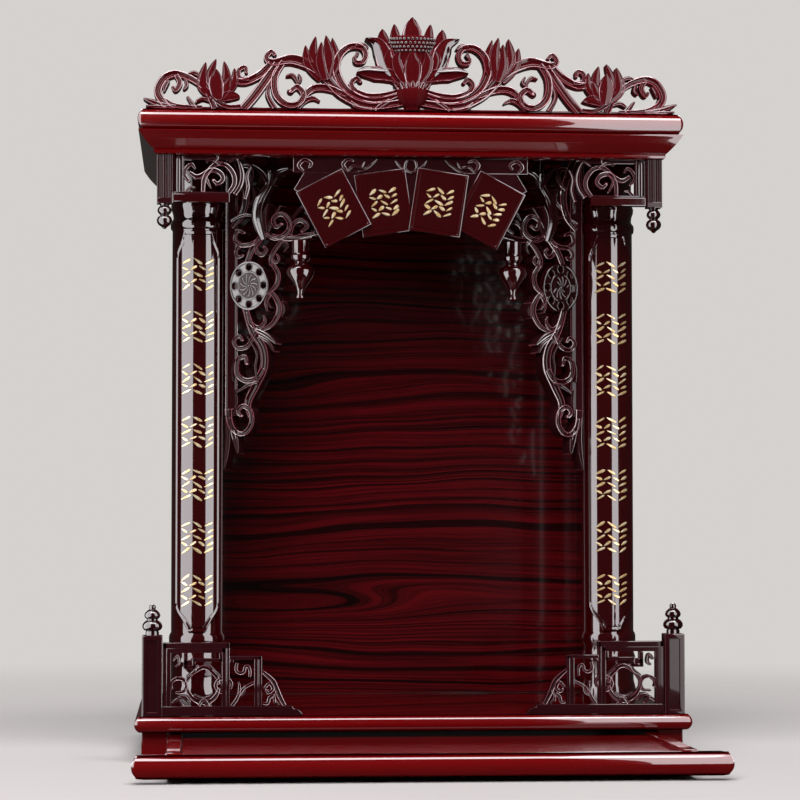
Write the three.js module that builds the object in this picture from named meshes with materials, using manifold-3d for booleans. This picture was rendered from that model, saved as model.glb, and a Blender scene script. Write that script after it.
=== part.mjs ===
// Household altar cabinet of carved, lacquered wood: a base with a pull-out offering tray, two
// turned columns, side walls and a back board under a moulded roof with an openwork lotus crest.
// Millimetres, +Z up, the front faces -Y. The export's origin is on the ground, halfway between
// the tray's front and the cabinet's back; the sizes below count Y from the middle of the base.

import * as THREE from 'three';
import { mergeVertices } from 'three/addons/utils/BufferGeometryUtils.js';
import Module from 'manifold-3d';

const wasm = await Module();
wasm.setup();

// ---- Driving dimensions ----
const CABINET_WIDTH = 480; // roof slab and base board, edge to edge
const BASE_DEPTH = 310;
const FIT_GAP = 0.3; // clearance left between neighbouring pieces

const FRONT_Y = -BASE_DEPTH / 2;
const BACK_Y = BASE_DEPTH / 2;

const FLOOR_UNDERSIDE = 25.5; // height of the base board's lower face
const BASE_BOARD_THICKNESS = 13.5;
const FLOOR_TOP = FLOOR_UNDERSIDE + BASE_BOARD_THICKNESS;

const BASE_SIDE_OUTER = 234; // half the distance over the two side boards of the base
const BASE_SIDE_INNER = 212;
const RUNNER_INNER = 199; // inner edge of the ledge that carries the tray
const RUNNER_HEIGHT = 3.7;

const TRAY_PULL = 188; // how far the tray stands drawn out
const TRAY_LENGTH = 290;
const ORIGIN_SHIFT = TRAY_PULL / 2; // moves the whole cabinet back over the origin
const TRAY_RAIL_DEPTH = 16; // front rail, front to back
const TRAY_FRONT_WIDTH = 476;
const TRAY_HALF_WIDTH = 211.3;
const TRAY_SIDE_RAIL_WIDTH = 12;
const TRAY_BOTTOM = 4;
const TRAY_RAIL_TOP = 22.6;
const TRAY_SIDE_TOP = 23.6;
const TRAY_PANEL_BOTTOM = 12;
const TRAY_PANEL_TOP = 20.4;

const SLAB_UNDERSIDE = 546.3;
const SLAB_TOP = 564.5;
const SLAB_FRONT_Y = -126;
const CORNICE_BOTTOM = 526;
const CORNICE_INNER_X = 210.5; // inner face of the side mouldings
const CORNICE_INNER_Y = -96.7; // inner face of the front moulding
const POST_TOP = SLAB_UNDERSIDE - FIT_GAP; // top of everything that carries the roof

const WALL_INNER = 181; // half the clear width of the niche
const WALL_THICKNESS = 12;
const WALL_COLUMN_GAP = 3; // between the back of a column and its wall
const BACK_RAIL_DEPTH = 15;
const BACK_BOARD_FRONT = 138;
const BACK_BOARD_THICKNESS = 10;

const COLUMN_X = 187;
const COLUMN_Y = -22;
const COLUMN_RADIUS = 23.5;
const COLUMN_SIDES = 14;
const PANEL_RISE = 1.8; // the couplet panel stands this far off the shaft
const PANEL_HALF_WIDTH = 19.4;
const PANEL_BOTTOM = 106;
const PANEL_TOP = 467;

const STRAND_STEP = 17; // length of one straight facet along a carved strand

const FRIEZE_Y = -103.2; // middle plane of everything that hangs under the front moulding
const HEAD_THICKNESS = 11;
const HANGING_POST_X = 216.5;
const HANGING_POST_SIZE = 13.5;

const BRACKET_CANT = THREE.MathUtils.degToRad(25); // the brackets turn forward from the columns
const BRACKET_STRETCH = 1 / Math.cos(BRACKET_CANT); // widths below are as seen from the front
const BRACKET_X = 160; // the plane's hinge line beside the column
const BRACKET_Y = -30;
const BRACKET_THICKNESS = 14;
const PENDANT_OFFSET = 64; // pendant axis from the hinge line, seen from the front
const PENDANT_TOP = 456;

const CREST_Y = -114;
const CREST_THICKNESS = 14;

const RAILING_Y = -143;
const RAILING_POST_X = 225;
const RAILING_POST_SIZE = 17.4;
const RAILING_POST_TOP = 108;
const RAILING_THICKNESS = 9;

// ---- Lacquers ----
const RED_LACQUER = { color: 0x7a0c14, roughness: 0.22, metalness: 0 };
const DARK_LACQUER = { color: 0x2e0610, roughness: 0.2, metalness: 0 };
const GRAINED_LACQUER = { color: 0x3f0709, roughness: 0.18, metalness: 0 };

const cabinet = new THREE.Group();
cabinet.position.y = ORIGIN_SHIFT;

// ---- Shape helpers ----

// Adds one named piece to the cabinet.
function addPiece(name, geometry, lacquer) {
  const mesh = new THREE.Mesh(geometry, new THREE.MeshStandardMaterial(lacquer));
  mesh.name = name;
  cabinet.add(mesh);
}

// Turns a closed geometry into a solid for cutting and joining.
function toSolid(geometry) {
  const bare = geometry.clone();
  for (const attribute of Object.keys(bare.attributes)) {
    if (attribute !== 'position') {
      bare.deleteAttribute(attribute);
    }
  }
  const merged = mergeVertices(bare, 1e-4);
  return new wasm.Manifold(new wasm.Mesh({
    numProp: 3,
    vertProperties: Float32Array.from(merged.attributes.position.array),
    triVerts: Uint32Array.from(merged.index.array),
  }));
}

// Turns a solid back into a geometry.
function toGeometry(solid) {
  const mesh = solid.getMesh();
  const geometry = new THREE.BufferGeometry();
  geometry.setAttribute('position', new THREE.BufferAttribute(mesh.vertProperties, 3));
  geometry.setIndex(new THREE.BufferAttribute(mesh.triVerts, 1));
  return geometry;
}

// Joins several solids into one.
function join(solids) {
  return solids.reduce((sum, solid) => sum.add(solid));
}

// Mirrors a geometry across the cabinet's middle plane, keeping its faces outward.
function mirrored(geometry) {
  const copy = geometry.index ? geometry.clone() : mergeVertices(geometry);
  copy.scale(-1, 1, 1);
  const index = copy.index.array;
  for (let i = 0; i < index.length; i += 3) {
    [index[i], index[i + 1]] = [index[i + 1], index[i]];
  }
  return copy;
}

// A box between two corners.
function boxBetween(x0, x1, y0, y1, z0, z1) {
  const box = new THREE.BoxGeometry(x1 - x0, y1 - y0, z1 - z0);
  return box.translate((x0 + x1) / 2, (y0 + y1) / 2, (z0 + z1) / 2);
}

// A closed skin over rings of points that all have the same count; the rings run upwards and
// each goes anticlockwise as seen from above.
function skinRings(rings) {
  const count = rings[0].length;
  const positions = rings.flat(2);
  const faces = [];
  for (let level = 0; level < rings.length - 1; level += 1) {
    for (let i = 0; i < count; i += 1) {
      const a = level * count + i;
      const b = level * count + (i + 1) % count;
      faces.push(a, b, b + count, a, b + count, a + count);
    }
  }
  const top = (rings.length - 1) * count;
  for (let i = 1; i < count - 1; i += 1) {
    faces.push(0, i + 1, i);
    faces.push(top, top + i, top + i + 1);
  }
  const geometry = new THREE.BufferGeometry();
  geometry.setAttribute('position', new THREE.Float32BufferAttribute(positions, 3));
  geometry.setIndex(faces);
  return geometry;
}

// A board whose front and side edges are rounded over its full thickness.
function bullnoseBoard(halfWidth, frontY, backY, bottom, top, steps = 6) {
  const radius = (top - bottom) / 2;
  const rings = [];
  for (let i = 0; i <= steps; i += 1) {
    const angle = -Math.PI / 2 + Math.PI * i / steps;
    const inset = radius * (1 - Math.cos(angle));
    const z = (top + bottom) / 2 + radius * Math.sin(angle);
    const x = halfWidth - inset;
    const y = frontY + inset;
    rings.push([[-x, y, z], [x, y, z], [x, backY, z], [-x, backY, z]]);
  }
  return skinRings(rings);
}

// A turned solid about the Z axis; the profile lists [radius, height] from the bottom up.
function turned(profile, sides, x, y) {
  const points = profile.map(([radius, height]) => new THREE.Vector2(radius, height));
  const lathe = new THREE.LatheGeometry(points, sides);
  return lathe.rotateX(Math.PI / 2).translate(x, y, 0);
}

// A flat outline in the XZ plane given thickness along Y; holes may be passed as outlines.
function platedOutline(outline, frontY, backY, holes = []) {
  const shape = new THREE.Shape(outline.map(([x, z]) => new THREE.Vector2(x, z)));
  for (const hole of holes) {
    shape.holes.push(new THREE.Path(hole.map(([x, z]) => new THREE.Vector2(x, z))));
  }
  const plate = new THREE.ExtrudeGeometry(shape, { depth: backY - frontY, bevelEnabled: false });
  return plate.rotateX(Math.PI / 2).translate(0, backY, 0);
}

// Points around an ellipse in the XZ plane.
function ellipse(x, z, radiusX, radiusZ, count) {
  const points = [];
  for (let i = 0; i < count; i += 1) {
    const angle = 2 * Math.PI * (i + 0.5) / count;
    points.push([x + radiusX * Math.cos(angle), z + radiusZ * Math.sin(angle)]);
  }
  return points;
}

// One carved strand: a band that follows guide points in the XZ plane. widths are spread evenly
// along it. With a crown, a ridge lies that far in front of the band's edges.
function strand(guides, widths, frontY, backY, crown = 0) {
  const curve = new THREE.SplineCurve(guides.map(([x, z]) => new THREE.Vector2(x, z)));
  const steps = Math.max(1, Math.round(curve.getLength() / STRAND_STEP));
  const rings = [];
  for (let i = 0; i <= steps; i += 1) {
    const t = i / steps;
    const centre = curve.getPoint(t);
    const tangent = curve.getTangent(t);
    const place = t * (widths.length - 1);
    const span = Math.min(Math.floor(place), widths.length - 2);
    const half = THREE.MathUtils.lerp(widths[span], widths[span + 1], place - span) / 2;
    const sideX = -tangent.y * half;
    const sideZ = tangent.x * half;
    const ridge = crown > 0 ? [[centre.x, frontY, centre.y]] : [];
    rings.push([
      [centre.x + sideX, backY, centre.y + sideZ],
      [centre.x + sideX, frontY + crown, centre.y + sideZ],
      ...ridge,
      [centre.x - sideX, frontY + crown, centre.y - sideZ],
      [centre.x - sideX, backY, centre.y - sideZ],
    ]);
  }
  return skinRings(rings);
}

// ---- Base ----

const sideBoardFront = FRONT_Y + TRAY_RAIL_DEPTH + FIT_GAP;
const baseBackRailFront = BACK_Y - BACK_RAIL_DEPTH;

// A side board of the base with the ledge that the tray slides on.
function baseSide() {
  const boardTop = FLOOR_UNDERSIDE - FIT_GAP;
  return platedOutline([
    [-BASE_SIDE_OUTER, 0], [-RUNNER_INNER, 0], [-RUNNER_INNER, RUNNER_HEIGHT],
    [-BASE_SIDE_INNER, RUNNER_HEIGHT], [-BASE_SIDE_INNER, boardTop], [-BASE_SIDE_OUTER, boardTop],
  ], sideBoardFront, BACK_Y);
}

const baseSideLeft = baseSide();
addPiece('base_side_left', baseSideLeft, RED_LACQUER);
addPiece('base_side_right', mirrored(baseSideLeft), RED_LACQUER);

const backRailHalf = BASE_SIDE_INNER - FIT_GAP;
addPiece('base_back_rail', boxBetween(
  -backRailHalf, backRailHalf, baseBackRailFront, BACK_Y,
  RUNNER_HEIGHT + FIT_GAP, FLOOR_UNDERSIDE - FIT_GAP,
), RED_LACQUER);

addPiece('base_board', bullnoseBoard(
  CABINET_WIDTH / 2, FRONT_Y, BACK_Y, FLOOR_UNDERSIDE, FLOOR_TOP,
), RED_LACQUER);

// ---- Offering tray, drawn out ----

const trayFront = FRONT_Y - TRAY_PULL;
const trayBack = trayFront + TRAY_LENGTH;
const trayBodyFront = trayFront + TRAY_RAIL_DEPTH + FIT_GAP;
const traySideInner = TRAY_HALF_WIDTH - TRAY_SIDE_RAIL_WIDTH;

addPiece('tray_front_rail', bullnoseBoard(
  TRAY_FRONT_WIDTH / 2, trayFront, trayFront + TRAY_RAIL_DEPTH, TRAY_BOTTOM, TRAY_RAIL_TOP,
), RED_LACQUER);

const panelHalf = traySideInner - FIT_GAP;
addPiece('tray_panel', boxBetween(
  -panelHalf, panelHalf, trayBodyFront, trayBack, TRAY_PANEL_BOTTOM, TRAY_PANEL_TOP,
), GRAINED_LACQUER);

const traySideRail = boxBetween(
  -TRAY_HALF_WIDTH, -traySideInner, trayBodyFront, trayBack, TRAY_BOTTOM, TRAY_SIDE_TOP,
);
addPiece('tray_side_rail_left', traySideRail, RED_LACQUER);
addPiece('tray_side_rail_right', mirrored(traySideRail), RED_LACQUER);

// ---- Walls ----

const wallBottom = FLOOR_TOP + FIT_GAP;
const wallFront = COLUMN_Y + COLUMN_RADIUS + WALL_COLUMN_GAP;
const sideWall = boxBetween(
  -WALL_INNER - WALL_THICKNESS, -WALL_INNER, wallFront, BACK_BOARD_FRONT - FIT_GAP,
  wallBottom, POST_TOP,
);
addPiece('side_wall_left', sideWall, GRAINED_LACQUER);
addPiece('side_wall_right', mirrored(sideWall), GRAINED_LACQUER);

const backHalf = WALL_INNER + WALL_THICKNESS;
const backBoardBack = BACK_BOARD_FRONT + BACK_BOARD_THICKNESS;
addPiece('back_board', boxBetween(
  -backHalf, backHalf, BACK_BOARD_FRONT, backBoardBack, wallBottom, POST_TOP,
), GRAINED_LACQUER);

// ---- Columns with their raised couplet panels ----

// Outline of the couplet panel, its ends drawn in by ogee shoulders.
function coupletOutline() {
  const narrow = PANEL_HALF_WIDTH * 0.78;
  const neck = PANEL_HALF_WIDTH * 0.55;
  const half = [
    [neck, PANEL_BOTTOM],
    [narrow, PANEL_BOTTOM + 12],
    [PANEL_HALF_WIDTH, PANEL_BOTTOM + 21],
    [PANEL_HALF_WIDTH, PANEL_TOP - 20],
    [narrow * 1.15, PANEL_TOP - 11],
    [narrow, PANEL_TOP],
  ];
  const other = half.map(([x, z]) => [-x, z]).reverse();
  return [...half, ...other];
}

function column() {
  const shaftRadius = COLUMN_RADIUS - 0.6;
  const profile = [
    [0, wallBottom], [25, wallBottom], [25, 56], [23.6, 60], [23.6, 79], [25, 82], [23.6, 94],
    [25, 97], [25, 103], [shaftRadius, 106], [shaftRadius, 468], [24.8, 470], [24.8, 476],
    [22, 479], [24.5, 490], [22.8, 496], [22.8, POST_TOP], [0, POST_TOP],
  ];
  const shaft = toSolid(turned(profile, COLUMN_SIDES, 0, 0));
  const skinRadius = COLUMN_RADIUS + PANEL_RISE;
  const rim = turned([
    [0, PANEL_BOTTOM - 1], [skinRadius, PANEL_BOTTOM - 1],
    [skinRadius, PANEL_TOP + 1], [0, PANEL_TOP + 1],
  ], COLUMN_SIDES, 0, 0);
  const front = platedOutline(coupletOutline(), -skinRadius - 1, -5);
  const panel = toSolid(rim).intersect(toSolid(front));
  return toGeometry(shaft.add(panel)).translate(-COLUMN_X, COLUMN_Y, 0);
}

const columnLeft = column();
addPiece('column_left', columnLeft, RED_LACQUER);
addPiece('column_right', mirrored(columnLeft), RED_LACQUER);

// ---- Roof ----

addPiece('roof_slab', bullnoseBoard(
  CABINET_WIDTH / 2, SLAB_FRONT_Y, BACK_Y, SLAB_UNDERSIDE, SLAB_TOP, 8,
), RED_LACQUER);

// Section of the moulding under the slab: [distance out from its inner face, height].
const CORNICE_SECTION = [
  [0, CORNICE_BOTTOM], [13, CORNICE_BOTTOM], [15.9, 529], [17, 531.5], [21.2, 535.3],
  [24.7, 539.5], [27.5, 543.5], [29, POST_TOP], [0, POST_TOP],
];

// The front moulding, mitred into the side ones.
function corniceFront() {
  const ring = (side) => CORNICE_SECTION.map(([out, z]) => [
    side * (CORNICE_INNER_X + out - FIT_GAP / 2), CORNICE_INNER_Y - out, z,
  ]);
  return skinRings([ring(1), ring(-1)]);
}

// A side moulding, mitred at the front and cut square at the back.
function corniceSide() {
  const front = CORNICE_SECTION.map(([out, z]) => [
    -CORNICE_INNER_X - out, CORNICE_INNER_Y - out + FIT_GAP / 2, z,
  ]);
  const back = CORNICE_SECTION.map(([out, z]) => [-CORNICE_INNER_X - out, BACK_Y, z]);
  return skinRings([front, back]);
}

addPiece('cornice_front', corniceFront(), RED_LACQUER);
const corniceLeft = corniceSide();
addPiece('cornice_left', corniceLeft, RED_LACQUER);
addPiece('cornice_right', mirrored(corniceLeft), RED_LACQUER);

const roofRailHalf = CORNICE_INNER_X - FIT_GAP;
addPiece('roof_back_rail', boxBetween(
  -roofRailHalf, roofRailHalf, backBoardBack + FIT_GAP, BACK_Y, CORNICE_BOTTOM, POST_TOP,
), RED_LACQUER);

// ---- Hanging corner posts ----

function hangingPost() {
  const half = HANGING_POST_SIZE / 2;
  const top = CORNICE_BOTTOM - FIT_GAP;
  const shaftBottom = 483;
  let post = toSolid(boxBetween(-half, half, -half, half, shaftBottom, top));
  const flute = [[0, 488], [1.7, 488], [1.7, top + 1], [0, top + 1]];
  const faceCentres = [[0, -half], [half, 0], [-half, 0]];
  for (const [x, y] of faceCentres) {
    for (const across of [-2.4, 2.4]) {
      const alongX = x === 0 ? across : 0;
      const alongY = y === 0 ? across : 0;
      post = post.subtract(toSolid(turned(flute, 4, x + alongX, y + alongY)));
    }
  }
  const drop = turned([
    [0, 461], [3.4, 463.5], [6.6, 467], [6.6, 470], [3.8, 473],
    [6, 475.5], [6, 479], [4, 481.5], [4, 484], [0, 484],
  ], 8, 0, 0);
  return toGeometry(post.add(toSolid(drop))).translate(-HANGING_POST_X, FRIEZE_Y, 0);
}

const hangingPostLeft = hangingPost();
addPiece('hanging_post_left', hangingPostLeft, DARK_LACQUER);
addPiece('hanging_post_right', mirrored(hangingPostLeft), DARK_LACQUER);

// ---- Openwork head panels over the columns ----

const friezeTop = CORNICE_BOTTOM - FIT_GAP;
const headFront = FRIEZE_Y - HEAD_THICKNESS / 2;
const headBack = FRIEZE_Y + HEAD_THICKNESS / 2;

function headPanel() {
  const left = -HANGING_POST_X + HANGING_POST_SIZE / 2 + FIT_GAP;
  const front = headFront + 3;
  const stile = turned([[0, 486], [3, 486], [3, friezeTop], [0, friezeTop]], 10, -205, front);
  return toGeometry(join([
    toSolid(boxBetween(left, -159.5, headFront, headBack, 484.5, 493)),
    toSolid(boxBetween(left, -199.5, front, headBack, 492, friezeTop)),
    toSolid(boxBetween(-200, -150, front, headBack, 521.5, friezeTop)),
    toSolid(stile),
    toSolid(strand([[-193, 501], [-198, 507], [-197, 515], [-190, 518]], [3, 5, 3], front, headBack)),
    toSolid(strand(
      [[-199, 504], [-190, 508], [-179, 517], [-167, 519], [-157, 511], [-156, 500], [-161, 492]],
      [4, 5, 5], front, headBack,
    )),
    toSolid(strand(
      [[-183, 491], [-180, 504], [-173, 513], [-165, 508], [-168, 501], [-173, 502]],
      [4, 5, 4], front, headBack,
    )),
    toSolid(strand([[-156, 492], [-150, 503], [-148, 514], [-151, 523]], [5, 7, 4], front, headBack)),
    toSolid(strand([[-172, 518], [-178, 523], [-184, 523]], [5, 5, 2], front, headBack)),
  ]));
}

const headPanelLeft = headPanel();
addPiece('head_panel_left', headPanelLeft, DARK_LACQUER);
addPiece('head_panel_right', mirrored(headPanelLeft), DARK_LACQUER);

// ---- Lintel and the fan of four name tiles ----

const LINTEL_HALF = 104;
const LINTEL_BOTTOM = 512;
const LINTEL_FRONT = -104;
const TILE_THICKNESS = 4.4;

addPiece('lintel', toGeometry(join([
  toSolid(boxBetween(-LINTEL_HALF, LINTEL_HALF, LINTEL_FRONT, headBack, LINTEL_BOTTOM, friezeTop)),
  toSolid(platedOutline(
    [[-94, 513], [-104, 497], [-60, 470], [60, 470], [104, 497], [94, 513]],
    LINTEL_FRONT, headBack - 4,
  )),
])), DARK_LACQUER);

const TILE_WIDTH = 46;
const TILE_HEIGHT = 56;
const tiles = [
  { name: 'name_tile_outer_left', x: -68.6, z: 479.5, tilt: 28, layer: 1 },
  { name: 'name_tile_inner_left', x: -24, z: 485.3, tilt: 8.5, layer: 0 },
  { name: 'name_tile_inner_right', x: 24, z: 485.3, tilt: -8.5, layer: 1 },
  { name: 'name_tile_outer_right', x: 68.6, z: 479.5, tilt: -28, layer: 0 },
];
for (const { name, x, z, tilt, layer } of tiles) {
  const back = LINTEL_FRONT - FIT_GAP - layer * (TILE_THICKNESS + FIT_GAP);
  const tile = boxBetween(
    -TILE_WIDTH / 2, TILE_WIDTH / 2, back - TILE_THICKNESS, back, -TILE_HEIGHT / 2, TILE_HEIGHT / 2,
  );
  tile.rotateY(-THREE.MathUtils.degToRad(tilt)).translate(x, 0, z);
  addPiece(name, tile, RED_LACQUER);
}

// ---- Carved brackets, canted forward from the columns ----

const bracketFront = -BRACKET_THICKNESS / 2;
const bracketBack = BRACKET_THICKNESS / 2;

// Each entry: guide points as seen from the front, from the hinge line; widths along the strand.
const BRACKET_STRANDS = [
  { guides: [[3, 306], [4.5, 294], [9, 286], [15, 283]], widths: [8, 6, 5] },
  { guides: [[13, 283], [20, 286], [24, 294], [22.5, 305], [16, 309], [12.5, 304], [15.5, 300]],
    widths: [5, 5, 4] },
  { guides: [[23.5, 300], [20.5, 312], [28, 327], [35, 344], [33.5, 360], [24, 377], [18, 396]],
    widths: [5, 7, 8, 8, 6] },
  { guides: [[34, 342], [28, 333], [18, 331.5], [11, 338], [12, 350], [18, 353.5], [21, 348]],
    widths: [6, 5, 5, 4] },
  { guides: [[28, 330], [20, 326], [12, 322]], widths: [5, 4, 1.5] },
  { guides: [[24, 374], [20, 363], [11, 361], [8.5, 368], [14, 371]], widths: [4, 4, 3] },
  { guides: [[19, 391], [24, 381], [32, 379], [36.5, 388]], widths: [5, 4, 2] },
  { guides: [[28, 376], [36, 371], [44, 364]], widths: [6, 6, 1.5] },
  { guides: [[33, 376], [43, 382], [48, 396], [41, 411]], widths: [4, 5, 5, 4] },
  { guides: [[38, 409], [46, 417], [46.5, 427], [40, 436]], widths: [4, 5, 4] },
  { guides: [[20, 436], [25, 448], [35, 464]], widths: [7, 7, 8] },
  { guides: [[35, 464], [27, 455.5], [15, 453.5], [9, 459], [12, 466.5], [17, 464]],
    widths: [5, 4, 4, 3] },
  { guides: [[16, 454], [10, 449], [13, 443.5], [17, 446.5]], widths: [4, 3.5, 3] },
  { guides: [[34, 460], [28, 478], [32, 496], [40.5, 511], [39, 528], [38, POST_TOP]],
    widths: [8, 10, 8, 7, 8, 10] },
  { guides: [[37, 463], [39, 479], [50, 491]], widths: [5, 5, 2] },
  { guides: [[37, 462], [47, 460], [57, 466], [56, 476], [47, 480], [42, 473], [47, 469]],
    widths: [5, 4, 4, 4] },
  { guides: [[44, 461], [60, 460], [80, 462]], widths: [5, 6, 3] },
  { guides: [[60, 461], [61, 470], [68, 473], [72, 467], [67, 464]], widths: [4, 4, 3] },
  { guides: [[79, 460], [77, 470], [69, 482]], widths: [5, 5, 1.5] },
  { guides: [[50, 459], [43, 450], [42, 440], [47, 441]], widths: [4, 4, 3] },
  { guides: [[6, 470], [17, 484], [18, 502], [13, 522], [6, 538]], widths: [5, 7, 7, 6] },
  { guides: [[38, 508], [33, 518], [24, 525]], widths: [6, 7, 1.5] },
  { guides: [[40, 508], [46, 519], [55, 520]], widths: [6, 7, 1.5] },
  { guides: [[4, 296], [8, 282], [11, 266]], widths: [4, 8, 1.2] },
  { guides: [[1.4, 306], [2, 278], [-0.5, 252]], widths: [6, 5, 1.2] },
];

// The bracket's oval medallion with its ring of round holes and raised rosette.
function medallion() {
  const centreX = 21;
  const centreZ = 417;
  const radiusX = 17.5;
  const radiusZ = 22.5;
  const holes = [];
  const holeCount = 8;
  for (let i = 0; i < holeCount; i += 1) {
    const angle = 2 * Math.PI * i / holeCount;
    const x = centreX + 0.74 * radiusX * Math.cos(angle);
    const z = centreZ + 0.74 * radiusZ * Math.sin(angle);
    holes.push(ellipse(x, z, 2.7, 3.5, 5).reverse());
  }
  const disc = platedOutline(
    ellipse(centreX, centreZ, radiusX, radiusZ, 18), bracketFront, bracketBack, holes,
  );
  const rosette = platedOutline(
    ellipse(centreX, centreZ, 9, 11.5, 8), bracketFront - 1.5, 0,
  );
  return toSolid(disc).add(toSolid(rosette));
}

function bracket() {
  const pieces = [
    toSolid(boxBetween(-2.2, 8.5, bracketFront, bracketBack, 300, POST_TOP)),
    toSolid(boxBetween(55, 74, bracketFront, bracketBack, PENDANT_TOP + FIT_GAP, 463)),
    medallion(),
  ];
  for (const { guides, widths } of BRACKET_STRANDS) {
    pieces.push(toSolid(strand(guides, widths, bracketFront, bracketBack)));
  }
  const flat = toGeometry(join(pieces));
  const canted = flat.scale(BRACKET_STRETCH, 1, 1).rotateZ(-BRACKET_CANT);
  return canted.translate(-BRACKET_X, BRACKET_Y, 0);
}

const bracketLeft = bracket();
addPiece('bracket_left', bracketLeft, DARK_LACQUER);
addPiece('bracket_right', mirrored(bracketLeft), DARK_LACQUER);

function pendant() {
  const profile = [
    [0, 403.3], [4.4, 404.5], [2.8, 409], [8.5, 420], [13.1, 427.5], [11.2, 432.5],
    [6.6, 437.5], [9.2, 440], [8.1, 444], [8.1, PENDANT_TOP], [0, PENDANT_TOP],
  ];
  const y = BRACKET_Y - PENDANT_OFFSET * Math.tan(BRACKET_CANT);
  return turned(profile, 12, -BRACKET_X + PENDANT_OFFSET, y);
}

const pendantLeft = pendant();
addPiece('pendant_left', pendantLeft, RED_LACQUER);
addPiece('pendant_right', mirrored(pendantLeft), RED_LACQUER);

// ---- Crest: lotus flowers and scrolls, carved as one ----

const crestFront = CREST_Y - CREST_THICKNESS / 2;
const crestBack = CREST_Y + CREST_THICKNESS / 2;

// One side of the scrollwork: guide points [distance from the middle, height over the slab].
const CREST_STRANDS = [
  { guides: [[10, 19], [24, 15], [42, 15], [54, 22], [50, 29], [46, 24]], widths: [5, 5, 3] },
  { guides: [[10, 16], [34, 10], [58, 20], [67, 36], [63, 52], [49, 57.5], [41, 50], [48, 44], [51, 49]],
    widths: [5, 6, 7, 6, 5, 3] },
  { guides: [[8, 8], [38, 5.5], [62, 16], [84, 37], [106, 44.5], [127, 42.5], [124, 51]],
    widths: [7, 8, 9, 9, 8, 3] },
  { guides: [[112, 44], [121, 28], [117, 10], [103, 4], [95, 13], [101, 20.5], [106, 14]],
    widths: [6, 6, 6, 5, 4] },
  { guides: [[60, 14], [76, 20], [88, 19], [97, 11]], widths: [7, 7, 6, 5] },
  { guides: [[119, 40], [129, 26], [139, 13], [148, 1]], widths: [7, 8, 8] },
  { guides: [[123, 41], [134, 30], [147, 25], [160, 26]], widths: [8, 7, 5] },
  { guides: [[142, 27], [153, 30], [149, 37.5], [145, 34]], widths: [4, 3.5, 3] },
  { guides: [[148, 3], [163, 3.5], [174, 12]], widths: [4, 4, 5] },
  { guides: [[176, 14], [188, 23], [206, 31], [219, 24], [222, 11], [212, 1]],
    widths: [5, 5, 6, 7, 7, 7] },
  { guides: [[218, 8], [206, 2.5], [190, 2]], widths: [5, 5, 4] },
  { guides: [[196, 10], [190, 1]], widths: [3, 5] },
  { guides: [[180, 16], [173, 1]], widths: [4, 6] },
  { guides: [[208, 2], [221, 4], [235, 9]], widths: [5, 7, 1.2] },
  // lotus bud
  { guides: [[74, 30], [69, 46], [71, 58]], widths: [4, 6, 1.5] },
  { guides: [[74, 30], [77, 48], [78, 66]], widths: [5, 9, 1.5] },
  { guides: [[75, 30], [85, 44], [91, 59]], widths: [4, 7, 1.5] },
  // small side lotus
  { guides: [[170, 8], [173, 20], [174, 35]], widths: [6, 13, 3] },
  { guides: [[176, 12], [184, 27], [181, 41]], widths: [6, 8, 1.5] },
  { guides: [[172, 22], [171, 43]], widths: [9, 1.5] },
  { guides: [[168, 14], [163, 28], [162, 41]], widths: [6, 9, 1.5] },
  { guides: [[168, 12], [159, 22], [155, 35]], widths: [6, 8, 1.5] },
  { guides: [[172, 11], [162, 10], [153, 11.5]], widths: [5, 7, 1.5] },
  // petals of the middle lotus
  { guides: [[12, 60], [15, 79]], widths: [9, 1.5], forward: 2 },
  { guides: [[19, 54], [23, 66], [27, 75]], widths: [6, 8, 1.5] },
  { guides: [[8, 24], [26, 44], [40, 66]], widths: [8, 16, 1.5], forward: 1 },
  { guides: [[6, 26], [18, 46], [27, 62]], widths: [8, 13, 1.5], forward: 3 },
  { guides: [[4, 27], [28, 35], [49, 32]], widths: [6, 12, 1.5], forward: 4 },
  { guides: [[5, 24], [13, 38], [10, 55]], widths: [6, 10, 2], forward: 5 },
];

function crest() {
  const pieces = [];
  for (const { guides, widths, forward = 0 } of CREST_STRANDS) {
    const lifted = guides.map(([x, height]) => [x, SLAB_TOP + height]);
    const half = strand(lifted, widths, crestFront - forward, crestBack, forward * 0.6);
    pieces.push(toSolid(half), toSolid(mirrored(half)));
  }
  // middle petals, seed pod and calyx
  pieces.push(toSolid(strand(
    [[0, SLAB_TOP + 60], [0, SLAB_TOP + 72], [0, SLAB_TOP + 83.5]], [10, 16, 1.5],
    crestFront - 1, crestBack,
  )));
  pieces.push(toSolid(strand(
    [[0, SLAB_TOP + 22], [0, SLAB_TOP + 38], [0, SLAB_TOP + 54]], [8, 18, 3],
    crestFront - 7, crestBack, 3,
  )));
  const pod = new THREE.SphereGeometry(1, 10, 5).scale(20, 9, 8);
  pieces.push(toSolid(pod.translate(0, crestFront + 5, SLAB_TOP + 58)));
  const calyx = new THREE.SphereGeometry(1, 8, 5).scale(14, 9, 11);
  pieces.push(toSolid(calyx.translate(0, crestFront + 6, SLAB_TOP + 15)));
  const footHalf = 212;
  pieces.push(toSolid(boxBetween(
    -footHalf, footHalf, CREST_Y - 4, CREST_Y + 4, SLAB_TOP + FIT_GAP, SLAB_TOP + 3,
  )));
  const floorCut = boxBetween(
    -CABINET_WIDTH, CABINET_WIDTH, crestFront - 20, crestBack + 20, SLAB_TOP - 30, SLAB_TOP + FIT_GAP,
  );
  return toGeometry(join(pieces).subtract(toSolid(floorCut)));
}

addPiece('crest', crest(), DARK_LACQUER);

// ---- Railings at the front corners ----

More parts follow.
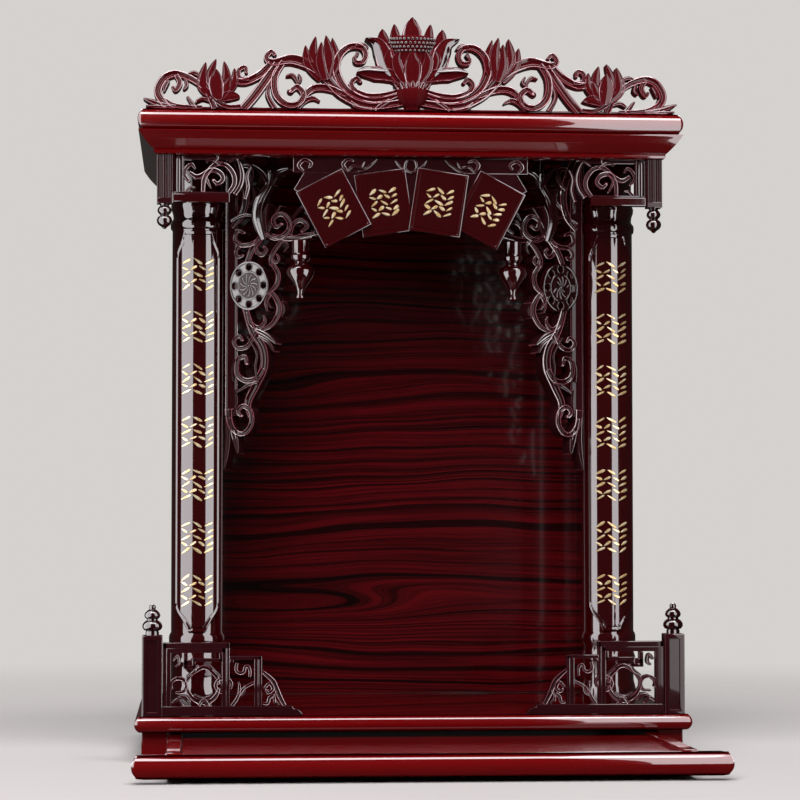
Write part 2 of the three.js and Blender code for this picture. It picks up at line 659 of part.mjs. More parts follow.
function railingPost() {
  const half = RAILING_POST_SIZE / 2;
  let post = toSolid(boxBetween(-half, half, -half, half, wallBottom, RAILING_POST_TOP));
  for (const [nx, ny] of [[1, 0], [-1, 0], [0, 1], [0, -1]]) {
    const recess = boxBetween(-4.2, 4.2, -4.2, 4.2, 47, 99);
    recess.translate(nx * (half + 3), ny * (half + 3), 0);
    post = post.subtract(toSolid(recess));
  }
  const finial = turned([
    [0, 107], [5.5, 107], [5.5, 111.5], [8.6, 114], [7.4, 119], [5, 121],
    [6.6, 123.5], [5.4, 127.5], [2.8, 130], [2.6, 133], [0, 134.3],
  ], 8, 0, 0);
  return toGeometry(post.add(toSolid(finial))).translate(-RAILING_POST_X, RAILING_Y, 0);
}

const railingPostLeft = railingPost();
addPiece('railing_post_left', railingPostLeft, DARK_LACQUER);
addPiece('railing_post_right', mirrored(railingPostLeft), DARK_LACQUER);

// A stepped fret panel: two frames of falling height, a base rail and a leaf at the end.
function railing() {
  const front = RAILING_Y - RAILING_THICKNESS / 2;
  const back = RAILING_Y + RAILING_THICKNESS / 2;
  const left = -RAILING_POST_X + RAILING_POST_SIZE / 2 + FIT_GAP;
  const bar = (x0, x1, z0, z1) => toSolid(boxBetween(x0, x1, front, back, z0, z1));
  const carved = (guides, widths) => toSolid(strand(guides, widths, front + 1, back - 1));
  return toGeometry(join([
    toSolid(platedOutline(
      [[left, wallBottom], [-96, wallBottom], [-99, 43], [-104, 44.5], [-106, 47.5], [left, 47.5]],
      front - 1, back + 1,
    )),
    bar(left, left + 7.5, 47, 101.5),
    bar(left + 7, -159, 93.5, 101.5),
    bar(-166, -159, 47, 101),
    bar(-159.5, -131.5, 84.5, 90),
    bar(-137, -131.5, 47, 90),
    bar(-198, -165, 82.5, 86.5),
    bar(-198, -194, 76, 93),
    carved([[-207, 66], [-203, 72], [-196, 70], [-196, 61], [-203, 58], [-208, 63]], [4, 4]),
    carved([[-196, 68], [-188, 79], [-181, 80], [-172, 77], [-166, 66]], [4, 4, 4]),
    carved([[-197, 62], [-190, 52], [-181, 49], [-171, 53], [-165, 64]], [4, 5, 4]),
    carved([[-181, 79], [-181, 84]], [7, 7]),
    carved([[-181, 50], [-181, 46]], [10, 10]),
    carved([[-158, 47], [-151, 60], [-136, 70]], [4, 4, 3]),
    carved([[-160, 77], [-148, 74], [-144, 80], [-136, 79]], [4, 4, 4]),
    carved([[-133, 76], [-124, 69], [-118, 56], [-112, 46]], [7, 8, 6]),
    carved([[-133, 50], [-127, 55], [-124, 46]], [6, 6, 4]),
  ]));
}

const railingLeft = railing();
addPiece('railing_left', railingLeft, DARK_LACQUER);
addPiece('railing_right', mirrored(railingLeft), DARK_LACQUER);

export default cabinet;
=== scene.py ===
"""Builds the looks of the household altar cabinet around its packed construction.

The cabinet is lacquered wood: turned columns, boards with rounded edges, and openwork carving made
of channelled strands, leaves and petals. Everything is modelled in millimetres in the cabinet's own
frame (+Z up, front towards -Y) and scaled to metres when a piece is finished.
"""

import logging
import math
import random
from dataclasses import dataclass, replace
from enum import Enum
from typing import Iterable, Sequence

import bmesh
import bpy
from bmesh.types import BMesh, BMEdge, BMFace, BMVert
from mathutils import Matrix, Vector


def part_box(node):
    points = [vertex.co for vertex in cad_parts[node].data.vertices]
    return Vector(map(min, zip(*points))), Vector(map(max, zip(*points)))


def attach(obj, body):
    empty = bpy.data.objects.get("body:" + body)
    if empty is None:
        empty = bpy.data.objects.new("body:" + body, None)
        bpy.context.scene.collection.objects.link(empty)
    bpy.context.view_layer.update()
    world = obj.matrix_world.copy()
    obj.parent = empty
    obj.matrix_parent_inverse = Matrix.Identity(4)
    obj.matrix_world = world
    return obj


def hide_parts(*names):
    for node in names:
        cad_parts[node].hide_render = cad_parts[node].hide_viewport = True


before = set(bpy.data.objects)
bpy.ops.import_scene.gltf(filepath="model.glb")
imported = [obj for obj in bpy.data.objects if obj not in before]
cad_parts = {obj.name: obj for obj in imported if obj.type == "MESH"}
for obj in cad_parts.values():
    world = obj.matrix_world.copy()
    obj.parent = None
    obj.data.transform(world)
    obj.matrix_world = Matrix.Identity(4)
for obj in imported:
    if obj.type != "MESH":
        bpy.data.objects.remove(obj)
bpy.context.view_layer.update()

log = logging.getLogger("altar_cabinet")

MM = 0.001
LEFT = "_left"
RIGHT = "_right"
CABINET = "cabinet"
TRAY = "tray"
SOFT_EDGE_ANGLE = math.radians(38)
BROAD_FACE = 22 * MM * MM
BROAD_SHARE = 3
RIM_ANGLE = math.radians(57)
STRIP_WIDTH = 1.3 * MM
RIM_EDGE_SHARE = 0.35
POLISHED = 1
TILE_SEED = 4

# Tolerances and lengths of the carving, in millimetres or as shares of a strand.
ON_PLANE = 0.01
PARALLEL = 1e-6
WELD = 1e-4
KEY_DIGITS = 5
COARSE_FACET = 1.5
FINE_FACET = 1.2
COURSE_STEPS = 40
COURSE_NUDGE = 0.004
DEEP_HALF_WIDTH = 3.4
LEAST_HALF_WIDTH = 0.25
BACK_SHARE = 0.97
KNOB_RISE = 0.4

Point = tuple[float, float]
Colour = tuple[float, float, float]


# ---- Frame helpers ----


@dataclass(frozen=True)
class NodeBox:
    """The box of one construction node, in millimetres."""

    x0: float
    x1: float
    y0: float
    y1: float
    z0: float
    z1: float

    @classmethod
    def of(cls, node: str) -> "NodeBox":
        """Reads a node's box from the frame."""
        low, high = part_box(node)
        return cls(low.x / MM, high.x / MM, low.y / MM, high.y / MM, low.z / MM, high.z / MM)

    @property
    def centre(self) -> Vector:
        """The middle of the box."""
        return Vector(((self.x0 + self.x1) / 2, (self.y0 + self.y1) / 2, (self.z0 + self.z1) / 2))

    @property
    def size(self) -> Vector:
        """The box's width, depth and height."""
        return Vector((self.x1 - self.x0, self.y1 - self.y0, self.z1 - self.z0))


# ---- Modelling helpers ----


def both_sides(*half: Point) -> tuple[Point, ...]:
    """A symmetric section from its left half, which ends on the middle."""
    return half + tuple((-across, sunk) for across, sunk in reversed(half[:-1]))


class Section(Enum):
    """Cross sections of a carved strand: (across, sunk) in half widths, from edge to edge."""

    CHANNEL = both_sides(
        (-1.0, 0.60), (-0.98, 0.26), (-0.89, 0.06), (-0.76, 0.0), (-0.62, 0.09), (-0.46, 0.40),
        (-0.24, 0.56), (0.0, 0.61),
    )
    PETAL = both_sides(
        (-1.0, 0.42), (-0.96, 0.12), (-0.88, 0.0), (-0.79, 0.10), (-0.70, 0.26), (-0.45, 0.17),
        (-0.2, 0.11), (0.0, 0.09),
    )
    LEAF = both_sides(
        (-1.0, 0.70), (-0.9, 0.38), (-0.7, 0.14), (-0.45, 0.02), (-0.24, 0.08), (-0.08, 0.30), (0.0, 0.38),
    )
    HOLLOW = both_sides(
        (-1.0, 0.9), (-0.99, 0.2), (-0.95, 0.03), (-0.91, 0.0), (-0.87, 0.06), (-0.82, 0.30),
        (-0.6, 0.46), (0.0, 0.52),
    )
    ROUND = both_sides((-1.0, 1.0), (-0.92, 0.61), (-0.71, 0.29), (-0.38, 0.08), (0.0, 0.0))
    TURNED_EDGE = (
        (-1.0, 1.0), (-0.97, 0.22), (-0.90, 0.04), (-0.80, 0.0), (-0.70, 0.04), (-0.30, 0.30),
        (0.10, 0.58), (0.50, 0.84), (0.86, 1.06), (0.96, 1.2), (1.0, 1.5),
    )


@dataclass(frozen=True)
class Strand:
    """One carved strand: its course in the (x, z) plane and its width along the way.

    Attributes:
        guides: Points that the strand runs through.
        widths: Widths spread evenly from its start to its end.
        section: Its cross section.
        lift: How far its front stands before the carving's front plane, from start to end.
        knob: Radius of the rounded eye that ends a curl, or 0 for none.
    """

    guides: Sequence[Point]
    widths: Sequence[float]
    section: Section = Section.CHANNEL
    lift: Point = (0.0, 0.0)
    knob: float = 0.0


def leaf(guides: Sequence[Point], widths: Sequence[float], lift: Point = (0.0, 0.0)) -> Strand:
    """A strand cut as a leaf with a sunk vein."""
    return Strand(guides, widths, Section.LEAF, lift)


def curl(guides: Sequence[Point], widths: Sequence[float], knob: float, rise: float = 0.0) -> Strand:
    """A channelled strand that rises towards a curled end with a rounded eye."""
    return Strand(guides, widths, lift=(0.0, rise), knob=knob)


def petal(guides: Sequence[Point], widths: Sequence[float], lift: Point = (0.0, 0.0)) -> Strand:
    """A strand cut as a nearly flat petal with raised edges."""
    return Strand(guides, widths, Section.PETAL, lift)


def spline_point(guides: Sequence[Point], place: float) -> Vector:
    """A point on the smooth curve through the guides.

    Args:
        guides: Points that the curve runs through.
        place: From 0 at the first guide to 1 at the last.

    Returns:
        The point, as a 2-D vector.
    """
    spans = len(guides) - 1
    scaled = min(max(place, 0.0), 1.0) * spans
    span = min(int(scaled), spans - 1)
    t = scaled - span
    p1 = Vector(guides[span])
    p2 = Vector(guides[span + 1])
    p0 = Vector(guides[span - 1]) if span > 0 else p1
    p3 = Vector(guides[span + 2]) if span + 2 <= spans else p2
    return 0.5 * (
        2 * p1 + (p2 - p0) * t + (2 * p0 - 5 * p1 + 4 * p2 - p3) * t * t
        + (3 * p1 - 3 * p2 + p3 - p0) * t * t * t
    )


def along(values: Sequence[float], place: float) -> float:
    """A value spread evenly along a strand, read at a place from 0 to 1.

    Args:
        values: The values.
        place: From 0 at the first to 1 at the last.

    Returns:
        The value there.
    """
    scaled = place * (len(values) - 1)
    span = min(int(scaled), len(values) - 2)
    return values[span] + (values[span + 1] - values[span]) * (scaled - span)


def half_width(strand: Strand, place: float) -> float:
    """Half the width of a strand at a place from 0 to 1; a petal or leaf swells in a curve.

    Args:
        strand: The strand.
        place: From 0 at its start to 1 at its end.

    Returns:
        Half its width there.
    """
    width = along(strand.widths, place)
    if strand.section in (Section.PETAL, Section.LEAF) and len(strand.widths) == 3:
        end, bend = (strand.widths[0], 2.0) if place < 0.5 else (strand.widths[2], 1.5)
        width = end + (strand.widths[1] - end) * (1 - abs(2 * place - 1) ** bend)
    return max(width / 2, LEAST_HALF_WIDTH)


def shift(part: BMesh, x: float, y: float, z: float) -> None:
    """Moves a whole part."""
    bmesh.ops.translate(part, vec=(x, y, z), verts=part.verts)


def bevel(part: BMesh, edges: Iterable[BMEdge], offset: float, segments: int = 2) -> None:
    """Rounds some edges of a part."""
    bmesh.ops.bevel(part, geom=list(edges), offset=offset, affect="EDGES", segments=segments,
                    profile=0.5, material=-1)


def extrude(part: BMesh, faces: Iterable[BMFace], move: Sequence[float]) -> list[BMVert]:
    """Extrudes faces of a part.

    Args:
        part: The part.
        faces: Its faces to extrude.
        move: How far they move.

    Returns:
        The corners of the moved end.
    """
    made = bmesh.ops.extrude_face_region(part, geom=list(faces))["geom"]
    moved = [item for item in made if isinstance(item, BMVert)]
    bmesh.ops.translate(part, vec=move, verts=moved)
    bmesh.ops.recalc_face_normals(part, faces=part.faces)
    return moved


def inset(part: BMesh, face: BMFace, steps: Iterable[Point]) -> None:
    """Insets one face step by step; each step is a thickness and a depth."""
    for thickness, depth in steps:
        bmesh.ops.inset_region(part, faces=[face], thickness=thickness, depth=depth, use_even_offset=True)


def sphere(radius: float, sides: int, rings: int) -> BMesh:
    """A ball about the origin."""
    part = bmesh.new()
    bmesh.ops.create_uvsphere(part, u_segments=sides, v_segments=rings, radius=radius)
    return part


def foremost(part: BMesh) -> BMFace:
    """The face that stands furthest forward."""
    return min(part.faces, key=lambda face: face.calc_center_median().y)


def lies_at(edge: BMEdge, axis: int, place: float) -> bool:
    """Whether an edge lies in the plane across an axis at a place."""
    return all(abs(vert.co[axis] - place) < ON_PLANE for vert in edge.verts)


def reach_of(edge: BMEdge, axis: int) -> float:
    """How far an edge runs along an axis."""
    return abs(edge.verts[0].co[axis] - edge.verts[1].co[axis])


def polish(part: BMesh) -> BMesh:
    """Gives every face of a part the polished finish."""
    for face in part.faces:
        face.material_index = POLISHED
    return part


def merge_in(target: BMesh, part: BMesh) -> None:
    """Moves a finished part into a piece.

    Args:
        target: The piece.
        part: The part; it is freed.
    """
    carrier = bpy.data.meshes.new("carrier")
    part.to_mesh(carrier)
    target.from_mesh(carrier)
    bpy.data.meshes.remove(carrier)
    part.free()


def sweep(strand: Strand, front: float, back: float, step: float = COARSE_FACET) -> BMesh:
    """Carves one strand by extruding its section along its course.

    Args:
        strand: The strand to carve.
        front: Y of the carving's front plane.
        back: Y of its back.
        step: Length of one facet.

    Returns:
        The closed strand.
    """
    rough = [spline_point(strand.guides, i / COURSE_STEPS) for i in range(COURSE_STEPS + 1)]
    length = sum((b - a).length for a, b in zip(rough, rough[1:]))
    count = max(4, round(length / step))
    part = bmesh.new()

    def ring_points(index: int) -> list[Vector]:
        """The section's corners at one step of the course.

        Args:
            index: The step, from 0 at the start.

        Returns:
            The corners in the order of the section, then the two at the back.
        """
        place = index / count
        here = spline_point(strand.guides, place)
        ahead = spline_point(strand.guides, min(place + COURSE_NUDGE, 1.0))
        behind = spline_point(strand.guides, max(place - COURSE_NUDGE, 0.0))
        course = (ahead - behind).normalized()
        side = Vector((-course.y, course.x))
        half = half_width(strand, place)
        relief = min(half, DEEP_HALF_WIDTH)
        plane = front - along(strand.lift, place)
        spots = []
        for across, sunk in strand.section.value:
            spot = here + side * half * across
            spots.append(Vector((spot.x, plane + sunk * relief, spot.y)))
        for across in (BACK_SHARE, -BACK_SHARE):
            spot = here + side * half * across
            spots.append(Vector((spot.x, back, spot.y)))
        return spots

    spots = ring_points(0)
    ring = [part.verts.new(spot) for spot in spots]
    edges = [part.edges.new((ring[i - 1], ring[i])) for i in range(len(ring))]
    bmesh.ops.contextual_create(part, geom=edges)
    for index in range(1, count + 1):
        made = bmesh.ops.extrude_edge_only(part, edges=edges)["geom"]
        order = {tuple(round(c, KEY_DIGITS) for c in vert.co): i for i, vert in enumerate(ring)}
        fresh = [item for item in made if isinstance(item, BMVert)]
        following = [None] * len(ring)
        for vert in fresh:
            following[order[tuple(round(c, KEY_DIGITS) for c in vert.co)]] = vert
        for vert, spot in zip(following, ring_points(index)):
            vert.co = spot
        ring = following
        edges = [item for item in made if isinstance(item, BMEdge)
                 and item.verts[0] in fresh and item.verts[1] in fresh]
    bmesh.ops.contextual_create(part, geom=edges)
    bmesh.ops.recalc_face_normals(part, faces=part.faces)
    if strand.knob:
        end = spline_point(strand.guides, 1.0)
        eye = bmesh.ops.create_uvsphere(part, u_segments=14, v_segments=8, radius=strand.knob)
        plane = front - strand.lift[1]
        depth = back - plane
        stretch = Matrix.Diagonal((1.0, depth / 2 / strand.knob, 1.0, 1.0))
        place = Matrix.Translation((end.x, plane + depth / 2 - KNOB_RISE, end.y))
        bmesh.ops.transform(part, matrix=place @ stretch, verts=eye["verts"])
    return part


def carve(strands: Iterable[Strand], front: float, back: float, step: float) -> BMesh:
    """Carves several strands into one piece.

    Args:
        strands: The strands.
        front: Y of the carving's front plane.
        back: Y of its back.
        step: Length of one facet.

    Returns:
        All strands in one mesh.
    """
    piece = bmesh.new()
    for strand in strands:
        merge_in(piece, sweep(strand, front, back, step))
    return piece


def block(low: Sequence[float], high: Sequence[float], round_by: float = 0.0) -> BMesh:
    """A box between two corners, its edges rounded.

    Args:
        low: Lowest corner.
        high: Highest corner.
        round_by: Radius of the rounding.

    Returns:
        The closed box.
    """
    part = bmesh.new()
    bmesh.ops.create_cube(part, size=1.0)
    low_corner = Vector(low)
    high_corner = Vector(high)
    bmesh.ops.scale(part, vec=high_corner - low_corner, verts=part.verts)
    bmesh.ops.translate(part, vec=(low_corner + high_corner) / 2, verts=part.verts)
    if round_by:
        bevel(part, part.edges, round_by)
    return part


def prism(outline: Sequence[Point], front: float, back: float) -> BMesh:
    """A flat outline in the XZ plane given thickness along Y.

    Args:
        outline: Corners as (x, z).
        front: Y of one face.
        back: Y of the other.

    Returns:
        The closed prism.
    """
    part = bmesh.new()
    face = part.faces.new([part.verts.new((x, front, z)) for x, z in outline])
    extrude(part, [face], (0, back - front, 0))
    return part


def turned(profile: Sequence[Point], centre: Point, sides: int = 48) -> BMesh:
    """A turned solid about an upright axis; the profile lists (radius, height) upwards.

    Args:
        profile: The outline from foot to top.
        centre: The axis as (x, y).
        sides: Facets of a full turn.

    Returns:
        The closed solid, with the polished finish.
    """
    part = bmesh.new()
    verts = [part.verts.new((radius, 0.0, height)) for radius, height in profile]
    edges = [part.edges.new(pair) for pair in zip(verts, verts[1:])]
    bmesh.ops.spin(
        part, geom=verts + edges, cent=(0, 0, 0), axis=(0, 0, 1), angle=math.tau, steps=sides,
        use_merge=True,
    )
    bmesh.ops.remove_doubles(part, verts=part.verts, dist=WELD)
    bmesh.ops.recalc_face_normals(part, faces=part.faces)
    shift(part, centre[0], centre[1], 0)
    return polish(part)


def smooth_profile(points: Sequence[Point], steps: int = 4) -> list[Point]:
    """Rounds a turned profile by running a smooth curve through its points.

    Args:
        points: The profile's main points.
        steps: Points per stretch.

    Returns:
        The finer profile.
    """
    count = steps * (len(points) - 1)
    spots = [spline_point(points, i / count) for i in range(count + 1)]
    return [(max(spot.x, 0.0), spot.y) for spot in spots]


def mirror_copy(part: BMesh) -> BMesh:
    """A mirror image of a part across the cabinet's middle plane.

    Args:
        part: The part, which is kept.

    Returns:
        The mirrored part.
    """
    copy = part.copy()
    bmesh.ops.scale(copy, vec=(-1, 1, 1), verts=copy.verts)
    bmesh.ops.reverse_faces(copy, faces=copy.faces)
    return copy


def rotate(part: BMesh, angle: float, axis: str = "Y") -> None:
    """Turns a part about one of the axes."""
    bmesh.ops.rotate(part, cent=(0, 0, 0), matrix=Matrix.Rotation(angle, 3, axis), verts=part.verts)


def stands_flat(face: BMFace) -> bool:
    """Whether a face is a broad flat one that must not take on the curve of its rounded edges.

    Args:
        face: The face.

    Returns:
        True where it must be shaded flat.
    """
    area = face.calc_area()
    if area < BROAD_FACE:
        return False
    beside = [other.calc_area() for edge in face.edges for other in edge.link_faces if other is not face]
    return area > BROAD_SHARE * max(beside, default=0.0)


def is_strip(face: BMFace) -> bool:
    """Whether a face is small or narrow enough to be part of a rounded edge."""
    area = face.calc_area()
    return area < BROAD_FACE or area < STRIP_WIDTH * max(edge.calc_length() for edge in face.edges)


def mark_rims(part: BMesh) -> None:
    """Notes in the attribute "rim" how sharply a strip turns outwards along its longer edges.

    Args:
        part: The part, in metres.
    """
    layer = part.loops.layers.float.new("rim")
    for face in part.faces:
        if not is_strip(face):
            continue
        reach = RIM_EDGE_SHARE * max(edge.calc_length() for edge in face.edges)
        turns = {
            edge: edge.calc_face_angle_signed(0.0)
            for edge in face.edges if len(edge.link_faces) == 2 and edge.calc_length() >= reach
        }
        for loop in face.loops:
            turn = max(turns.get(loop.edge, 0.0), turns.get(loop.link_loop_prev.edge, 0.0), 0.0)
            loop[layer] = min(turn / RIM_ANGLE, 1.0)


def finish_piece(
    name: str, part: BMesh, material: bpy.types.Material, body: str, nodes: Sequence[str],
    polished: bpy.types.Material | None = None,
) -> bpy.types.Object:
    """Turns a modelled part into a finished piece of the cabinet.

    Args:
        name: The piece's name.
        part: Its mesh in millimetres; it is freed.
        material: Its finish.
        body: The body that it moves with.
        nodes: Construction nodes that it stands for.
        polished: Finish of its turned parts, where that differs.

    Returns:
        The finished object.
    """
    bmesh.ops.scale(part, vec=(MM, MM, MM), verts=part.verts)
    part.normal_update()
    for edge in part.edges:
        edge.smooth = len(edge.link_faces) == 2 and edge.calc_face_angle(0.0) < SOFT_EDGE_ANGLE
    for face in part.faces:
        face.smooth = not stands_flat(face)
        if not polished:
            face.material_index = 0
    mark_rims(part)
    mesh = bpy.data.meshes.new(name)
    part.to_mesh(mesh)
    part.free()
    mesh.materials.append(material)
    if polished:
        mesh.materials.append(polished)
    piece = bpy.data.objects.new(name, mesh)
    bpy.context.scene.collection.objects.link(piece)
    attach(piece, body)
    if nodes:
        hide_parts(*nodes)
    mesh.calc_loop_triangles()
    log.info("%s: %d triangles", name, len(mesh.loop_triangles))
    return piece


def finish_pair(
    kind: str, ending: str, left: BMesh, material: bpy.types.Material,
    polished: bpy.types.Material | None = None, stands_for_node: bool = True,
) -> None:
    """Turns a modelled left-hand part and its mirror image into two finished pieces.

    Args:
        kind: The nodes' name without the side.
        ending: What follows the side in the pieces' names.
        left: The left-hand mesh in millimetres; it is freed.
        material: Their finish.
        polished: Finish of their turned parts, where that differs.
        stands_for_node: Whether each replaces the construction node of its side.
    """
    right = mirror_copy(left)
    for side, part in ((LEFT, left), (RIGHT, right)):
        node = kind + side
        nodes = [node] if stands_for_node else []
        finish_piece(node + ending, part, material, CABINET, nodes, polished)


# ---- Finishes ----


class NodeSheet:
    """A small helper that adds and links shader nodes in one tree."""

    def __init__(self, tree: bpy.types.NodeTree) -> None:
        """Starts an empty sheet on a tree."""
        self.tree = tree
        tree.nodes.clear()

    def add(self, kind: str, settings: dict | None = None, **inputs: object) -> bpy.types.Node:
        """Adds a node.

        Args:
            kind: The node's Blender type.
            settings: Properties of the node itself.
            **inputs: Values or sockets by input name, with _ for a space.

        Returns:
            The new node.
        """
        node = self.tree.nodes.new(kind)
        for key, value in (settings or {}).items():
            setattr(node, key, value)
        for key, value in inputs.items():
            self.feed(node.inputs[key.replace("_", " ")], value)
        return node

    def feed(self, socket: bpy.types.NodeSocket, value: object) -> None:
        """Sets a socket to a value, or links another socket to it.

        Args:
            socket: The socket.
            value: The value, or the other socket.
        """
        if isinstance(value, bpy.types.NodeSocket):
            self.tree.links.new(value, socket)
        else:
            socket.default_value = value

    def math(
        self, operation: str, first: object, second: object = 0.0, clamp: bool = False,
    ) -> bpy.types.NodeSocket:
        """Adds a Math node and returns its output.

        Args:
            operation: Its operation.
            first: The first value or socket.
            second: The second.
            clamp: Whether to keep the result from 0 to 1.

        Returns:
            The result's socket.
        """
        node = self.add("ShaderNodeMath", {"operation": operation, "use_clamp": clamp})
        self.feed(node.inputs[0], first)
        self.feed(node.inputs[1], second)
        return node.outputs[0]

    def times(self, first: object, second: object) -> bpy.types.NodeSocket:
        """Multiplies two values."""
        return self.math("MULTIPLY", first, second)

    def plus(self, first: object, second: object) -> bpy.types.NodeSocket:
        """Adds two values."""
        return self.math("ADD", first, second)

    def mix(self, factor: object, first: object, second: object) -> bpy.types.NodeSocket:
        """Adds a colour Mix node and returns its output.

        Args:
            factor: The second colour's share.
            first: The first colour.
            second: The second colour.

        Returns:
            The mixed colour's socket.
        """
        node = self.add("ShaderNodeMix", {"data_type": "RGBA"})
        self.feed(node.inputs[0], factor)
        self.feed(node.inputs[6], first)
        self.feed(node.inputs[7], second)
        return node.outputs[2]

    def blend(self, factor: object, first: object, second: object) -> bpy.types.NodeSocket:
        """Adds a Mix Shader node and returns its output.

        Args:
            factor: The second shader's share.
            first: The first shader.
            second: The second shader.

        Returns:
            The mixed shader's socket.
        """
        node = self.add("ShaderNodeMixShader")
        for socket, value in zip(node.inputs, (factor, first, second)):
            self.feed(socket, value)
        return node.outputs[0]

    def vector(self, x: object, y: object, z: object) -> bpy.types.NodeSocket:
        """Joins three values to a vector and returns it.

        Args:
            x: The first value.
            y: The second.
            z: The third.

        Returns:
            The vector's socket.
        """
        node = self.add("ShaderNodeCombineXYZ")
        for socket, value in zip(node.inputs, (x, y, z)):
            self.feed(socket, value)
        return node.outputs[0]

    def noise(
        self, place: object, scale: float, detail: float = 3.0, roughness: float = 0.5,
    ) -> bpy.types.NodeSocket:
        """Adds a Noise Texture and returns its value.

        Args:
            place: Where it is read.
            scale: Its fineness.
            detail: Its octaves.
            roughness: Weight of the finer octaves.

        Returns:
            The value's socket.
        """
        node = self.add("ShaderNodeTexNoise", Scale=scale, Detail=detail, Roughness=roughness)
        self.feed(node.inputs["Vector"], place)
        return node.outputs[0]

    def ramp(self, value: object, low: float, high: float) -> bpy.types.NodeSocket:
        """Stretches a value from low..high to 0..1.

        Args:
            value: The value.
            low: What becomes 0.
            high: What becomes 1.

        Returns:
            The stretched value's socket.
        """
        node = self.add("ShaderNodeMapRange", {"interpolation_type": "SMOOTHSTEP"})
        self.feed(node.inputs["Value"], value)
        self.feed(node.inputs["From Min"], low)
        self.feed(node.inputs["From Max"], high)
        return node.outputs["Result"]


def rgba(colour: Colour) -> tuple[float, float, float, float]:
    """A colour with full alpha."""
    return (*colour, 1.0)


def new_group(
    name: str, inputs: dict[str, tuple[str, object]], outputs: dict[str, str],
) -> tuple[bpy.types.NodeTree, NodeSheet, bpy.types.Node, bpy.types.Node]:
    """Starts a shader node group.

    Args:
        name: The group's name.
        inputs: Socket type and default by input name.
        outputs: Socket type by output name.

    Returns:
        The group, its sheet, its input node and its output node.
    """
    group = bpy.data.node_groups.new(name, "ShaderNodeTree")
    sheet = NodeSheet(group)
    for key, (kind, default) in inputs.items():
        socket = group.interface.new_socket(key, in_out="INPUT", socket_type=kind)
        socket.default_value = default
    for key, kind in outputs.items():
        group.interface.new_socket(key, in_out="OUTPUT", socket_type=kind)
    return group, sheet, group.nodes.new("NodeGroupInput"), group.nodes.new("NodeGroupOutput")


def start_shader(name: str) -> tuple[bpy.types.Material, NodeSheet, bpy.types.NodeSocket]:
    """Starts a material.

    Args:
        name: The material's name.

    Returns:
        The material, its sheet and the place on the object as a socket.
    """
    shader = bpy.data.materials.new(name)
    shader.use_nodes = True
    sheet = NodeSheet(shader.node_tree)
    return shader, sheet, sheet.add("ShaderNodeTexCoord").outputs["Object"]


FLOAT = "NodeSocketFloat"
COLOUR = "NodeSocketColor"
VECTOR = "NodeSocketVector"

# Place, reach and lift of the long heart in the rosewood's figure, in metres.
HEART_ASIDE = 0.10
HEART_HEIGHT = 0.122
HEART_REACH = 0.15
HEART_SPREAD = 0.017
HEART_LIFT = 0.034


def rubbed_sheen_lacquer_group() -> bpy.types.NodeTree:
    """Lacquer in its own deep colour, with a lighter colour painted on the rims: in part worn lacquer, mostly
    a painted highlight.

    Returns:
        A group from Place, Deep, the rim colour and its strength, Rim, Gloss and Veil to Colour, Roughness,
        Height and Coat, which is how thick the clear coat stands: full on rims, thin in the carving's
        hollows.
    """
    group, sheet, source, result = new_group(
        "rubbed lacquer",
        {"Place": (VECTOR, (0.0, 0.0, 0.0)), "Deep": (COLOUR, (0.1, 0.01, 0.01, 1.0)),
         "Rubbed": (COLOUR, (0.3, 0.02, 0.02, 1.0)), "Rim": (FLOAT, 0.0), "Rub": (FLOAT, 0.6),
         "Gloss": (FLOAT, 0.1), "Veil": (FLOAT, 1.0)},
        {"Colour": COLOUR, "Roughness": FLOAT, "Height": FLOAT, "Coat": FLOAT},
    )
    place = source.outputs["Place"]
    cloud = sheet.noise(place, 22.0, 4.0, 0.6)
    rim = sheet.ramp(source.outputs["Rim"], 0.62, 0.96)
    veil = source.outputs["Veil"]
    bare = sheet.math("SUBTRACT", 1.0, veil)
    polished = sheet.times(sheet.ramp(source.outputs["Rim"], 0.42, 0.88), bare)
    sheet.feed(result.inputs["Coat"], sheet.plus(polished, veil))
    # Painted highlight: the rim mask lightens the colour towards the rim colour, in part worn lacquer, mostly
    # standing in for reflections on the rims.
    rim_sheen_mask = sheet.times(rim, sheet.plus(cloud, 0.45))
    rub_and_sheen = sheet.math("MULTIPLY", rim_sheen_mask, source.outputs["Rub"], clamp=True)
    mottled = sheet.mix(sheet.times(cloud, 0.05), source.outputs["Deep"], source.outputs["Rubbed"])
    sheet.feed(result.inputs["Colour"], sheet.mix(rub_and_sheen, mottled, source.outputs["Rubbed"]))
    smear = sheet.noise(place, 9.0, 5.0, 0.65)
    haze = sheet.times(sheet.ramp(smear, 0.42, 0.75), 0.10)
    sheet.feed(result.inputs["Roughness"], sheet.plus(source.outputs["Gloss"], haze))
    sheet.feed(result.inputs["Height"], sheet.noise(place, 160.0, 2.0, 0.5))
    return group


